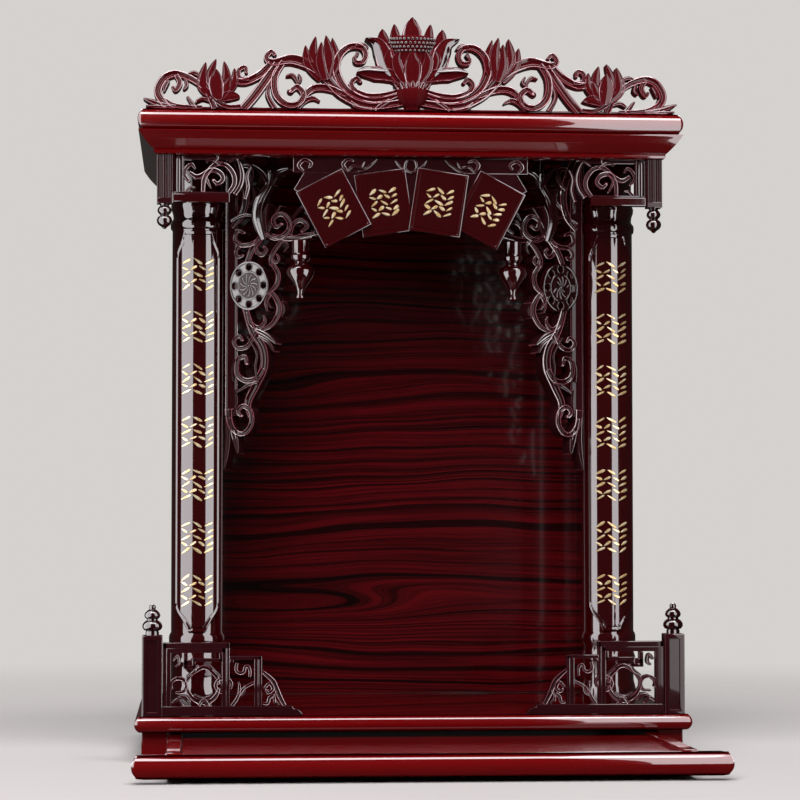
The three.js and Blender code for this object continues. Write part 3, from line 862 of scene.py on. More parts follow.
def rosewood_group() -> bpy.types.NodeTree:
    """Bold rosewood figure: dark streaks along the board that close round one long heart.

    Returns:
        A group from Place, Dark, Warm, Arch and Flat to Colour, Roughness and Height.
    """
    group, sheet, source, result = new_group(
        "rosewood figure",
        {"Place": (VECTOR, (0.0, 0.0, 0.0)), "Dark": (COLOUR, (0.01, 0.0, 0.0, 1.0)),
         "Warm": (COLOUR, (0.2, 0.01, 0.01, 1.0)), "Arch": (FLOAT, 0.03), "Flat": (FLOAT, 0.0)},
        {"Colour": COLOUR, "Roughness": FLOAT, "Height": FLOAT},
    )
    axes = sheet.add("ShaderNodeSeparateXYZ", Vector=source.outputs["Place"])
    x, y, z = axes.outputs
    lying = sheet.times(sheet.math("SUBTRACT", y, z), source.outputs["Flat"])
    across = sheet.plus(z, lying)
    drift = sheet.noise(sheet.vector(sheet.times(x, 0.6), y, sheet.times(z, 2.2)), 5.0, 2.0)
    wander = sheet.times(drift, source.outputs["Arch"])
    heart_x = sheet.math("DIVIDE", sheet.plus(x, HEART_ASIDE), HEART_REACH)
    heart_z = sheet.math("DIVIDE", sheet.math("SUBTRACT", across, HEART_HEIGHT), HEART_SPREAD)
    span = sheet.plus(sheet.times(heart_x, heart_x), sheet.times(heart_z, heart_z))
    heart = sheet.times(sheet.math("POWER", math.e, sheet.times(span, -1.0)), HEART_LIFT)
    level = sheet.plus(sheet.plus(across, wander), heart)
    bands = sheet.add("ShaderNodeTexNoise", {"noise_dimensions": "1D"}, Scale=150.0, Detail=5.0,
                      Roughness=0.62)
    sheet.feed(bands.inputs["W"], level)
    flow = sheet.vector(sheet.times(x, 0.1), sheet.times(y, 0.1), sheet.times(level, 9.0))
    streak = sheet.ramp(bands.outputs[0], 0.28, 0.60)
    fibre = sheet.ramp(sheet.noise(flow, 60.0, 4.0, 0.7), 0.36, 0.62)
    figure = sheet.times(streak, sheet.plus(sheet.times(fibre, 0.65), 0.35))
    sheet.feed(result.inputs["Colour"], sheet.mix(figure, source.outputs["Dark"], source.outputs["Warm"]))
    haze = sheet.times(sheet.noise(source.outputs["Place"], 7.0, 4.0, 0.6), 0.10)
    sheet.feed(result.inputs["Roughness"], sheet.plus(haze, 0.08))
    sheet.feed(result.inputs["Height"], fibre)
    return group


@dataclass(frozen=True)
class Lacquer:
    """A coloured lacquer over carved or planed wood.

    Attributes:
        name: The finish's name.
        deep: Its own colour, away from the rims.
        rubbed_sheen: Colour painted on the rims: in part worn lacquer, mostly a painted highlight.
        rub_and_sheen: How strongly that painted rim colour shows.
        gloss: Roughness of the clean surface.
        ripple: Strength of its slight orange peel.
        veil: Thickness of the clear coat away from the rims.
        body_ior: Index of refraction of the coloured lacquer.
        coat_ior: Index of refraction of the clear coat.
    """

    name: str
    deep: Colour
    rubbed_sheen: Colour
    rub_and_sheen: float
    gloss: float = 0.10
    ripple: float = 0.05
    veil: float = 1.0
    body_ior: float = 1.22
    coat_ior: float = 1.6

    def material(self, group: bpy.types.NodeTree) -> bpy.types.Material:
        """Makes the shader of this lacquer from the shared group.

        Args:
            group: The shared group.

        Returns:
            The finished material.
        """
        shader, sheet, place = start_shader(self.name)
        rim = sheet.add("ShaderNodeAttribute", {"attribute_name": "rim"}).outputs["Fac"]
        body = sheet.add("ShaderNodeGroup", {"node_tree": group}, Place=place, Deep=rgba(self.deep),
                         Rubbed=rgba(self.rubbed_sheen), Rim=rim, Rub=self.rub_and_sheen, Gloss=self.gloss,
                         Veil=self.veil)
        bump = sheet.add("ShaderNodeBump", Strength=self.ripple, Distance=0.0004,
                         Height=body.outputs["Height"])
        surface = sheet.add(
            "ShaderNodeBsdfPrincipled", Base_Color=body.outputs["Colour"],
            Roughness=body.outputs["Roughness"], Normal=bump.outputs[0], IOR=self.body_ior, Coat_Weight=1.0,
            Coat_Roughness=0.03, Coat_IOR=self.coat_ior,
        )
        if self.veil < 1.0:
            sheet.feed(surface.inputs["Coat Weight"], body.outputs["Coat"])
        sheet.add("ShaderNodeOutputMaterial", Surface=surface.outputs[0])
        return shader


@dataclass(frozen=True)
class Rosewood:
    """Stained, grained boards under a clear lacquer.

    Attributes:
        name: The finish's name.
        dark: Colour of the dark streaks.
        warm: Colour of the wood between them.
        arch: How far the streaks wander up and down.
        flat: 1 for a board that lies flat, 0 for one that stands.
    """

    name: str
    dark: Colour
    warm: Colour
    arch: float
    flat: float

    def material(self, group: bpy.types.NodeTree) -> bpy.types.Material:
        """Makes the shader of this board from the shared group.

        Args:
            group: The shared group.

        Returns:
            The finished material.
        """
        shader, sheet, place = start_shader(self.name)
        body = sheet.add("ShaderNodeGroup", {"node_tree": group}, Place=place, Dark=rgba(self.dark),
                         Warm=rgba(self.warm), Arch=self.arch, Flat=self.flat)
        bump = sheet.add("ShaderNodeBump", Strength=0.04, Distance=0.0003, Height=body.outputs["Height"])
        surface = sheet.add(
            "ShaderNodeBsdfPrincipled", Base_Color=body.outputs["Colour"],
            Roughness=body.outputs["Roughness"], Normal=bump.outputs[0], IOR=1.3, Coat_Weight=0.35,
            Coat_Roughness=0.06, Coat_IOR=1.5,
        )
        sheet.add("ShaderNodeOutputMaterial", Surface=surface.outputs[0])
        return shader


@dataclass(frozen=True)
class Gilt:
    """Gilt paint on raised strokes, paler where the gold is thin."""

    name: str = "gilt strokes"
    gold: Colour = (0.46, 0.32, 0.13)
    pale: Colour = (0.62, 0.55, 0.38)

    def material(self) -> bpy.types.Material:
        """Makes the gilt shader.

        Returns:
            The finished material.
        """
        shader, sheet, place = start_shader(self.name)
        patches = sheet.ramp(sheet.noise(place, 240.0, 4.0, 0.6), 0.4, 0.65)
        brushed = sheet.noise(place, 900.0, 2.0, 0.5)
        bump = sheet.add("ShaderNodeBump", Strength=0.12, Distance=0.0003, Height=brushed)
        surface = sheet.add(
            "ShaderNodeBsdfPrincipled", Base_Color=sheet.mix(patches, rgba(self.gold), rgba(self.pale)),
            Roughness=sheet.plus(sheet.times(brushed, 0.2), 0.22),
            Metallic=0.55, Normal=bump.outputs[0],
        )
        sheet.add("ShaderNodeOutputMaterial", Surface=surface.outputs[0])
        return shader


@dataclass
class Palette:
    """All finishes of the cabinet, made once."""

    crimson: bpy.types.Material
    oxblood: bpy.types.Material
    lotus: bpy.types.Material
    soft_lotus: bpy.types.Material
    plum: bpy.types.Material
    polished_plum: bpy.types.Material
    boards: bpy.types.Material
    tray: bpy.types.Material
    gilt: bpy.types.Material

    @classmethod
    def mixed(cls) -> "Palette":
        """Mixes every finish.

        Returns:
            The palette.
        """
        lacquer = rubbed_sheen_lacquer_group()
        figure = rosewood_group()
        # The second colour of each lacquer is painted on its rims: in part worn lacquer, mostly a painted
        # highlight.
        crimson = Lacquer("crimson lacquer", (0.098, 0.001, 0.0016), (0.18, 0.003, 0.005), 0.8)
        # A darker copy of the crimson lacquer that paints in shade on the columns, head panel rails, name
        # tiles, pendants and crest edges.
        oxblood = Lacquer("oxblood lacquer", (0.019, 0.0005, 0.001), (0.075, 0.003, 0.005), 0.6)
        lotus = Lacquer("lotus lacquer", (0.044, 0.0006, 0.0012), (0.32, 0.08, 0.105), 0.85, veil=0.22,
                        body_ior=1.1, coat_ior=1.75)
        plum = Lacquer("plum lacquer", (0.010, 0.0005, 0.0009), (0.30, 0.10, 0.125), 0.9, veil=0.12,
                       body_ior=1.1, coat_ior=1.95)
        polished_plum = Lacquer("polished plum lacquer", plum.deep, (0.08, 0.01, 0.014), 0.5)
        boards = Rosewood("rosewood boards", (0.004, 0.0004, 0.0006), (0.085, 0.0022, 0.004), 0.05, 0.0)
        tray = Rosewood("rosewood tray panel", (0.07, 0.001, 0.0016), (0.17, 0.003, 0.005), 0.05, 1.0)
        return cls(
            crimson=crimson.material(lacquer),
            oxblood=oxblood.material(lacquer),
            lotus=lotus.material(lacquer),
            soft_lotus=replace(lotus, name="soft lotus lacquer", veil=0.0, body_ior=1.05).material(lacquer),
            polished_plum=polished_plum.material(lacquer),
            plum=plum.material(lacquer),
            boards=boards.material(figure),
            tray=tray.material(figure),
            gilt=Gilt().material(),
        )


# ---- Boards ----


@dataclass
class Boards:
    """The planed boards of base, tray, walls and roof."""

    edge: float = 0.8
    corner: float = 3.0
    corner_facets: int = 4
    nosing: float = 0.49
    nosing_facets: int = 8
    ledge_edge: float = 0.5
    ledge_play: float = 0.3

    def plain(self, node: str) -> BMesh:
        """A board with lightly rounded edges in a node's box."""
        box = NodeBox.of(node)
        return block((box.x0, box.y0, box.z0), (box.x1, box.y1, box.z1), self.edge)

    def bullnose(self, node: str) -> BMesh:
        """A board whose front and side edges are round over its full thickness.

        Args:
            node: The construction node.

        Returns:
            The closed board.
        """
        box = NodeBox.of(node)
        part = block((box.x0, box.y0, box.z0), (box.x1, box.y1, box.z1))
        front = [edge for edge in part.edges if lies_at(edge, 1, box.y0) and reach_of(edge, 0) < ON_PLANE]
        bevel(part, front, self.corner, self.corner_facets)
        level = [edge for edge in part.edges if reach_of(edge, 2) < ON_PLANE and not lies_at(edge, 1, box.y1)]
        bevel(part, level, box.size.z * self.nosing, self.nosing_facets)
        return part

    def base_side(self) -> BMesh:
        """The left side board of the base with the ledge that carries the tray.

        Returns:
            The closed board.
        """
        box = NodeBox.of("base_side" + LEFT)
        rail = NodeBox.of("base_back_rail")
        inner = rail.x0 - self.ledge_play
        ledge = rail.z0 - self.ledge_play
        part = prism([(box.x0, box.z0), (box.x1, box.z0), (box.x1, ledge), (inner, ledge),
                      (inner, box.z1), (box.x0, box.z1)], box.y0, box.y1)
        bevel(part, part.edges, self.ledge_edge)
        return part

    def build(self, palette: Palette) -> None:
        """Builds every board.

        Args:
            palette: All finishes.
        """
        red = (palette.crimson, "red_lacquer")
        grained = (palette.boards, "grained_lacquer")
        boards = [
            ("base_board", "_lacquered", self.bullnose, red, CABINET),
            ("roof_slab", "_lacquered", self.bullnose, red, CABINET),
            ("tray_front_rail", "_lacquered", self.bullnose, red, TRAY),
            ("tray_panel", "_board", self.plain, (palette.tray, "grained_lacquer"), TRAY),
        ]
        for side in (LEFT, RIGHT):
            boards.append(("tray_side_rail" + side, "_board", self.plain, red, TRAY))
            boards.append(("side_wall" + side, "_board", self.plain, grained, CABINET))
        boards.append(("back_board", "_figured", self.plain, grained, CABINET))
        boards.append(("base_back_rail", "_board", self.plain, red, CABINET))
        boards.append(("roof_back_rail", "_board", self.plain, red, CABINET))
        for node, ending, make, (finish, slot), body in boards:
            finish_piece(node + ending, make(node), finish, body, [node])
        finish_pair("base_side", "_board", self.base_side(), palette.crimson)


@dataclass
class Cornice:
    """The ogee moulding under the roof slab, mitred at its front corners."""

    mitre_gap: float = 0.15

    def section(self, bottom: float, top: float) -> list[Point]:
        """The moulding's face as (distance out from the inner face, height) upwards.

        Args:
            bottom: Height of its foot.
            top: Height of its top.

        Returns:
            The closed section.
        """
        bead = [(13.0, 0), (15.0, 0.8), (15.8, 2.4), (15.2, 3.8), (14.6, 4.4), (16.2, 5.0)]
        lower = [(17.2, 5.4), (20.4, 8.6), (24.0, 12.6), (26.8, 16.6)]
        ogee = [(out, bottom + rise) for out, rise in lower] + [(28.4, top - 1.2), (28.8, top)]
        return [(0.0, bottom), *((out, bottom + rise) for out, rise in bead), *smooth_profile(ogee, 4),
                (0.0, top)]

    def build(self, palette: Palette) -> None:
        """Builds the front moulding and its two returns.

        Args:
            palette: All finishes.
        """
        front = NodeBox.of("cornice_front")
        left = NodeBox.of("cornice_left")
        section = self.section(front.z0, front.z1)
        gap = self.mitre_gap
        inner_x = left.x1
        inner_y = front.y1
        ends = [[(side * (-inner_x + out - gap), inner_y - out, z) for out, z in section] for side in (1, -1)]
        finish_piece("cornice_front_moulding", self.skin(ends), palette.crimson, CABINET,
                     ["cornice_front"])
        ends = [[(inner_x - out, inner_y - out + gap, z) for out, z in section],
                [(inner_x - out, left.y1, z) for out, z in section]]
        finish_pair("cornice", "_moulding", self.skin(ends), palette.crimson)

    @staticmethod
    def skin(ends: list[list[tuple[float, float, float]]]) -> BMesh:
        """A length of moulding between its two end sections.

        Args:
            ends: Corners of the two end sections.

        Returns:
            The closed length.
        """
        part = bmesh.new()
        loops = []
        for end in ends:
            ring = [part.verts.new(spot) for spot in end]
            part.faces.new(ring)
            loops += [part.edges.get((ring[i - 1], ring[i])) for i in range(len(ring))]
        bmesh.ops.bridge_loops(part, edges=loops)
        bmesh.ops.recalc_face_normals(part, faces=part.faces)
        return part


# ---- Gilt strokes in place of the writing ----


@dataclass
class StrokeField:
    """One place of writing, filled by rows of short tapered strokes that aren't letters."""

    size: float
    rows: int = 5
    rise: float = 0.8
    stroke_width: float = 2.3
    lean: float = math.radians(31)
    length_range: Point = (0.86, 1.06)
    width_range: Point = (0.85, 1.3)
    lean_range: Point = (0.75, 1.25)
    stray: float = 0.5

    def stroke(self, length: float, width: float) -> BMesh:
        """One tapered stroke along X, standing out towards -Y.

        Args:
            length: Its length.
            width: Its width in the middle.

        Returns:
            The closed stroke.
        """
        part = bmesh.new()
        bmesh.ops.create_circle(part, cap_ends=True, segments=14, radius=0.5)
        bmesh.ops.scale(part, vec=(length, width, 1), verts=part.verts)
        for vert in part.verts:
            vert.co.y *= 0.6 + 0.75 * (vert.co.x / length + 0.5)
        top = extrude(part, part.faces, (0, 0, self.rise))
        bmesh.ops.scale(part, vec=(0.9, 0.62, 1), verts=top)
        rotate(part, math.radians(90), "X")
        return part

    def strokes(self, draw: random.Random) -> BMesh:
        """Makes the strokes around the origin.

        Args:
            draw: The seeded source of their small differences.

        Returns:
            All strokes of this place.
        """
        rows = bmesh.new()
        pitch = self.size / self.rows
        for row in range(self.rows):
            count = 3 + row % 2
            pace = self.size / count
            for column in range(count):
                length = pace * draw.uniform(*self.length_range)
                part = self.stroke(length, self.stroke_width * draw.uniform(*self.width_range))
                lean = self.lean if (row + column) % 2 else -self.lean
                rotate(part, lean * draw.uniform(*self.lean_range))
                x = (column + 0.5) * pace - self.size / 2
                z = (row + 0.5) * pitch - self.size / 2 + draw.uniform(-self.stray, self.stray)
                shift(part, x, 0, z)
                merge_in(rows, part)
        return rows


# ---- Columns ----


@dataclass
class Column:
    """A turned column with a raised couplet panel and its rows of gilt strokes."""

    ring_radius: float = 25.0
    shaft_radius: float = 23.2
    panel_rise: float = 1.8
    panel_arc: float = 21.8
    panel_bottom: float = 106.5
    panel_top: float = 466.5
    panel_slices: int = 30
    sides: int = 72
    stroke_places: int = 7
    stroke_size: float = 29.0
    stroke_margins: Point = (37.0, 40.0)

    def profile(self, box: NodeBox) -> list[Point]:
        """The turned outline of the column, base to cap.

        Args:
            box: The column's box.

        Returns:
            The outline as (radius, height).
        """
        ring = self.ring_radius
        shaft = self.shaft_radius
        foot = box.z0
        neck = [(shaft, 468), (shaft + 1.2, 469), (ring - 0.2, 470.4), (ring, 473), (ring - 0.4, 475.6),
                (23.4, 477), (22.4, 479), (22.8, 483), (24.2, 487), (24.6, 490.5), (23.4, 493.5),
                (22.6, 496), (22.6, box.z1)]
        base = [(ring - 0.6, foot), (ring, foot + 1), (ring, 54), (ring - 0.5, 56.4), (23.6, 59.4),
                (23.2, 62), (23.4, 76), (ring - 0.6, 78.6), (ring, 81.4), (ring - 0.8, 84), (23.4, 86.4),
                (23.2, 92), (24.4, 94.6), (ring, 97), (ring, 101.6), (24.2, 104), (shaft, 105.4)]
        return [(0, foot), *base, *neck, (0, box.z1)]

    def outline(self) -> list[Point]:
        """The couplet panel's outline as (arc length, height), with ogee ends.

        Returns:
            The closed outline.
        """
        arc = self.panel_arc
        upper = [(1.0, -24), (0.96, -19), (0.80, -12.5), (0.68, -7), (0.62, -2.5), (0.60, 0)]
        lower = [(0.36, 0), (0.42, 4), (0.62, 11), (0.84, 16), (0.97, 21), (1.0, 25)]
        half = [(arc * x, self.panel_bottom + z) for x, z in lower]
        half += [(arc * x, self.panel_top + z) for x, z in upper]
        return half + [(-x, z) for x, z in reversed(half)]

    def wrap(self, part: BMesh, centre: Vector) -> None:
        """Bends a flat part, modelled before the plane Y = 0, around the shaft.

        Args:
            part: The flat part.
            centre: A point on the column's axis.
        """
        radius = self.shaft_radius
        for vert in part.verts:
            reach = radius - vert.co.y
            angle = vert.co.x / radius
            vert.co.x = centre.x + reach * math.sin(angle)
            vert.co.y = centre.y - reach * math.cos(angle)

    def panel(self, centre: Vector) -> BMesh:
        """The raised panel with the groove that follows its edge.

        Args:
            centre: A point on the column's axis.

        Returns:
            The closed panel.
        """
        part = prism(self.outline(), -self.panel_rise, 1.0)
        inset(part, foremost(part), ((0.5, 0.25), (1.2, 0.0), (1.2, -0.8), (0.4, 0.0), (0.9, 0.9)))
        for i in range(1, self.panel_slices):
            cut = (2 * i / self.panel_slices - 1) * self.panel_arc
            bmesh.ops.bisect_plane(
                part, geom=[*part.verts, *part.edges, *part.faces], dist=1e-5, plane_co=(cut, 0, 0),
                plane_no=(1, 0, 0),
            )
        self.wrap(part, centre)
        return part

    def writing(self, draw: random.Random) -> BMesh:
        """The places of writing down one panel, still flat.

        Args:
            draw: The seeded source of the strokes' small differences.

        Returns:
            All strokes of the panel.
        """
        rows = bmesh.new()
        below, above = self.stroke_margins
        top = self.panel_top - above
        pitch = (top - self.panel_bottom - below) / (self.stroke_places - 1)
        for place in range(self.stroke_places):
            strokes = StrokeField(self.stroke_size).strokes(draw)
            shift(strokes, 0, -self.panel_rise - 0.1, top - place * pitch)
            merge_in(rows, strokes)
        return rows

    def build(self, palette: Palette) -> None:
        """Builds both columns and their strokes.

        Args:
            palette: All finishes.
        """
        for side in (LEFT, RIGHT):
            node = "column" + side
            box = NodeBox.of(node)
            centre = Vector((box.centre.x, box.y1 - self.ring_radius, 0))
            part = turned(self.profile(box), (centre.x, centre.y), self.sides)
            merge_in(part, self.panel(centre))
            finish_piece(node + "_turned", part, palette.oxblood, CABINET, [node])
            strokes = self.writing(random.Random(side))
            self.wrap(strokes, centre)
            finish_piece("couplet_strokes" + side, strokes, palette.gilt, CABINET, [])


# ---- Carving under the roof ----


@dataclass
class HangingPost:
    """A fluted corner post that hangs from the moulding and ends in turned beads."""

    shaft_bottom: float = 483.0
    flute_bottom: float = 488.0
    flute_radius: float = 1.7
    flute_offset: float = 2.9
    flute_steps: int = 6
    ridge_angle: float = math.radians(50)
    ridge_edge: float = 0.42

    def plan(self, half: float) -> list[Point]:
        """The shaft's plan with two flutes in each of three faces.

        Args:
            half: Half the shaft's width.

        Returns:
            The closed plan as (x, y) about its middle.
        """
        spots: list[Point] = []
        back = 2
        for turn in range(4):
            face: list[Point] = [(-half, -half)]
            for offset in () if turn == back else (-self.flute_offset, self.flute_offset):
                for i in range(self.flute_steps + 1):
                    angle = math.pi - math.pi * i / self.flute_steps
                    face.append((offset + self.flute_radius * math.cos(angle),
                                 -half + self.flute_radius * math.sin(angle)))
            for x, y in face:
                spots.append(((x, y), (-y, x), (-x, -y), (y, -x))[turn])
        return spots

    def build(self, palette: Palette) -> None:
        """Builds both posts.

        Args:
            palette: All finishes.
        """
        box = NodeBox.of("hanging_post" + LEFT)
        half = box.size.x / 2
        cx, cy = box.centre.x, box.centre.y
        part = block((cx - half, cy - half, self.shaft_bottom),
                     (cx + half, cy + half, self.flute_bottom), 0.6)
        fluted = bmesh.new()
        plan = [fluted.verts.new((cx + x, cy + y, self.flute_bottom)) for x, y in self.plan(half)]
        extrude(fluted, [fluted.faces.new(plan)], (0, 0, box.z1 - self.flute_bottom))
        ridges = [edge for edge in fluted.edges
                  if reach_of(edge, 2) > 1 and edge.calc_face_angle_signed(0.0) > self.ridge_angle]
        bevel(fluted, ridges, self.ridge_edge)
        merge_in(part, fluted)
        bead = [(0, box.z0), (1.2, 461.2), (2.6, 462.8), (5.2, 464.6), (6.6, 467), (6.7, 469.4),
                (5.4, 471.8), (3.6, 473), (4.6, 474), (6.0, 475.8), (6.2, 477.8), (5.2, 480), (3.8, 481.4),
                (4.6, 482.4), (4.6, 484), (0, 484)]
        merge_in(part, turned(smooth_profile(bead, 2), (cx, cy), 24))
        finish_pair("hanging_post", "_carved", part, palette.plum, palette.polished_plum)


@dataclass
class HeadPanel:
    """The openwork panel between a hanging post and the lintel."""

    strands: tuple[Strand, ...] = (
        curl([(-190, 514), (-193, 518), (-198, 514), (-199, 508), (-195, 503)], [1.6, 3, 3.4, 3, 2], 1.4),
        Strand([(-195, 511), (-188, 507), (-180, 511), (-172, 518), (-163, 517.5), (-156.5, 510),
                (-155.6, 501), (-160.5, 493)], [2.4, 4.2, 4.2, 4.0, 4.0, 4.4, 4.2, 3.4]),
        curl([(-183, 494), (-182, 505), (-177, 512.5), (-169, 511.5), (-165.5, 505.5), (-170, 501),
              (-174, 504)], [3.4, 4.2, 4.6, 4.2, 4, 3.4, 2.4], 2.2, 1.2),
        Strand([(-176, 497), (-179, 503), (-180.5, 508)], [1, 2.6, 1]),
        leaf([(-155, 492), (-150, 500), (-148.5, 509), (-150.5, 518), (-153, 523)], [4.6, 5.4, 5.6, 4, 1.6]),
        leaf([(-146, 488), (-143.5, 498), (-144.5, 508), (-141, 516)], [3, 4.6, 4, 1.4]),
        leaf([(-168, 518), (-174, 522.5), (-181, 521)], [3.6, 4.6, 1.4]),
        leaf([(-173, 520), (-170, 524), (-171, 525.4)], [2.4, 2.8, 1]),
        leaf([(-198, 493), (-194, 497), (-190, 498)], [3, 3.6, 1.2]),
        leaf([(-160, 520), (-154, 524), (-147, 524)], [2, 3, 1.2]),
    )

    def build(self, palette: Palette) -> None:
        """Builds both panels.

        Args:
            palette: All finishes.
        """
        box = NodeBox.of("head_panel" + LEFT)
        front = box.y0 + 3
        back = box.y1
        part = carve(self.strands, front, back, FINE_FACET)
        left = box.x0
        low = box.z0
        rail = block((left, box.y0 + 0.4, low), (-159.5, back, low + 7.4), 0.8)
        bars = (
            (left, -160.2, -0.8, low + 7.0, low + 9.2, 0.7), (left, -200.4, 1.2, low + 8.6, box.z1, 0.5),
            (-201.4, -199.6, -0.4, low + 8.6, box.z1, 0.7), (-201, -152, 1.0, 522.2, box.z1, 0.6),
        )
        for x0, x1, sunk, z0, z1, edge in bars:
            merge_in(part, block((x0, front + sunk, z0), (x1, back, z1), edge))
        stile = [(0, 491.5), (1.6, 492), (2.8, 494), (2.9, 510), (2.8, 522), (1.6, 525), (0, 525.4)]
        merge_in(part, turned(stile, (-204.9, front + 1.0), 24))
        finish_pair("head_panel", "_rail", rail, palette.oxblood, stands_for_node=False)
        finish_pair("head_panel", "_carved", part, palette.plum, palette.polished_plum)


@dataclass
class Lintel:
    """The lintel, its leaf scrolls between the tiles, and the fan of four name tiles."""

    tile_width: float = 46.0
    tile_height: float = 56.0
    tile_edge: float = 1.0
    plate_edge: float = 0.8
    stroke_size: float = 26.0
    tilts: tuple[tuple[str, float], ...] = (
        ("outer_left", -28.0), ("inner_left", -8.5), ("inner_right", 8.5), ("outer_right", 28.0),
    )
    leaves: tuple[Strand, ...] = (
        leaf([(-56, 513), (-51, 518), (-44, 517), (-41, 521.5)], [2, 4, 3.4, 1.2], (1.5, 2.5)),
        Strand([(-56, 513), (-60, 519), (-56, 523.5), (-51, 522)], [2, 3.4, 3, 2], lift=(1.5, 2.5), knob=1.2),
        leaf([(-48, 512), (-41, 515), (-34, 520), (-30, 524)], [2, 3.6, 3, 1], (1.5, 2)),
        leaf([(0, 512), (-5, 516), (-4, 522), (0, 524)], [2, 3.4, 3, 1.2], (1.5, 2.5)),
        leaf([(-3, 513), (-10, 518), (-14, 523)], [2, 3.4, 1], (1.5, 2)),
        Strand([(-95, 513), (-99, 518), (-94, 523), (-88, 520), (-90, 516)],
               [2, 3.6, 3.4, 3, 2], lift=(1.0, 2.0), knob=1.2),
    )

    def build(self, palette: Palette) -> None:
        """Builds the lintel and its tiles.

        Args:
            palette: All finishes.
        """
        box = NodeBox.of("lintel")
        part = block((box.x0, box.y0, 512), (box.x1, box.y1, box.z1), 0.7)
        plate = prism([(-94, 513), (-103.5, 497), (-60, 470.5), (60, 470.5), (103.5, 497), (94, 513)],
                      box.y0 + 0.2, box.y1 - 4)
        bevel(plate, plate.edges, self.plate_edge)
        merge_in(part, plate)
        leaves = carve(self.leaves, box.y0, box.y0 + 2, FINE_FACET)
        merge_in(part, mirror_copy(leaves))
        merge_in(part, leaves)
        finish_piece("lintel_carved", part, palette.plum, CABINET, ["lintel"])
        draw = random.Random(TILE_SEED)
        for place, tilt in self.tilts:
            self.tile(place, tilt, palette, draw)

    def tile(self, place: str, tilt: float, palette: Palette, draw: random.Random) -> None:
        """Builds one name tile with its border and gilt strokes.

        Args:
            place: Its place in the fan.
            tilt: How far it leans, in degrees.
            palette: All finishes.
            draw: The seeded source of the strokes' small differences.
        """
        node = "name_tile_" + place
        box = NodeBox.of(node)
        centre = box.centre
        half_x = self.tile_width / 2
        half_z = self.tile_height / 2
        tile = block((-half_x, box.y0, -half_z), (half_x, box.y1, half_z))
        bevel(tile, [edge for edge in tile.edges if lies_at(edge, 1, box.y0)], self.tile_edge, 3)
        inset(tile, foremost(tile), ((1.3, 0.0), (0.35, -0.45), (0.5, 0.0), (0.35, 0.45)))
        strokes = StrokeField(self.stroke_size).strokes(draw)
        shift(strokes, 0, box.y0 - 0.02, 0)
        for part, name, finish, slot, nodes in (
            (tile, node + "_lacquered", palette.oxblood, "red_lacquer", [node]),
            (strokes, "tile_strokes_" + place, palette.gilt, "gilt", []),
        ):
            rotate(part, math.radians(tilt))
            shift(part, centre.x, 0, centre.z)
            finish_piece(name, part, finish, CABINET, nodes)


# ---- Brackets ----


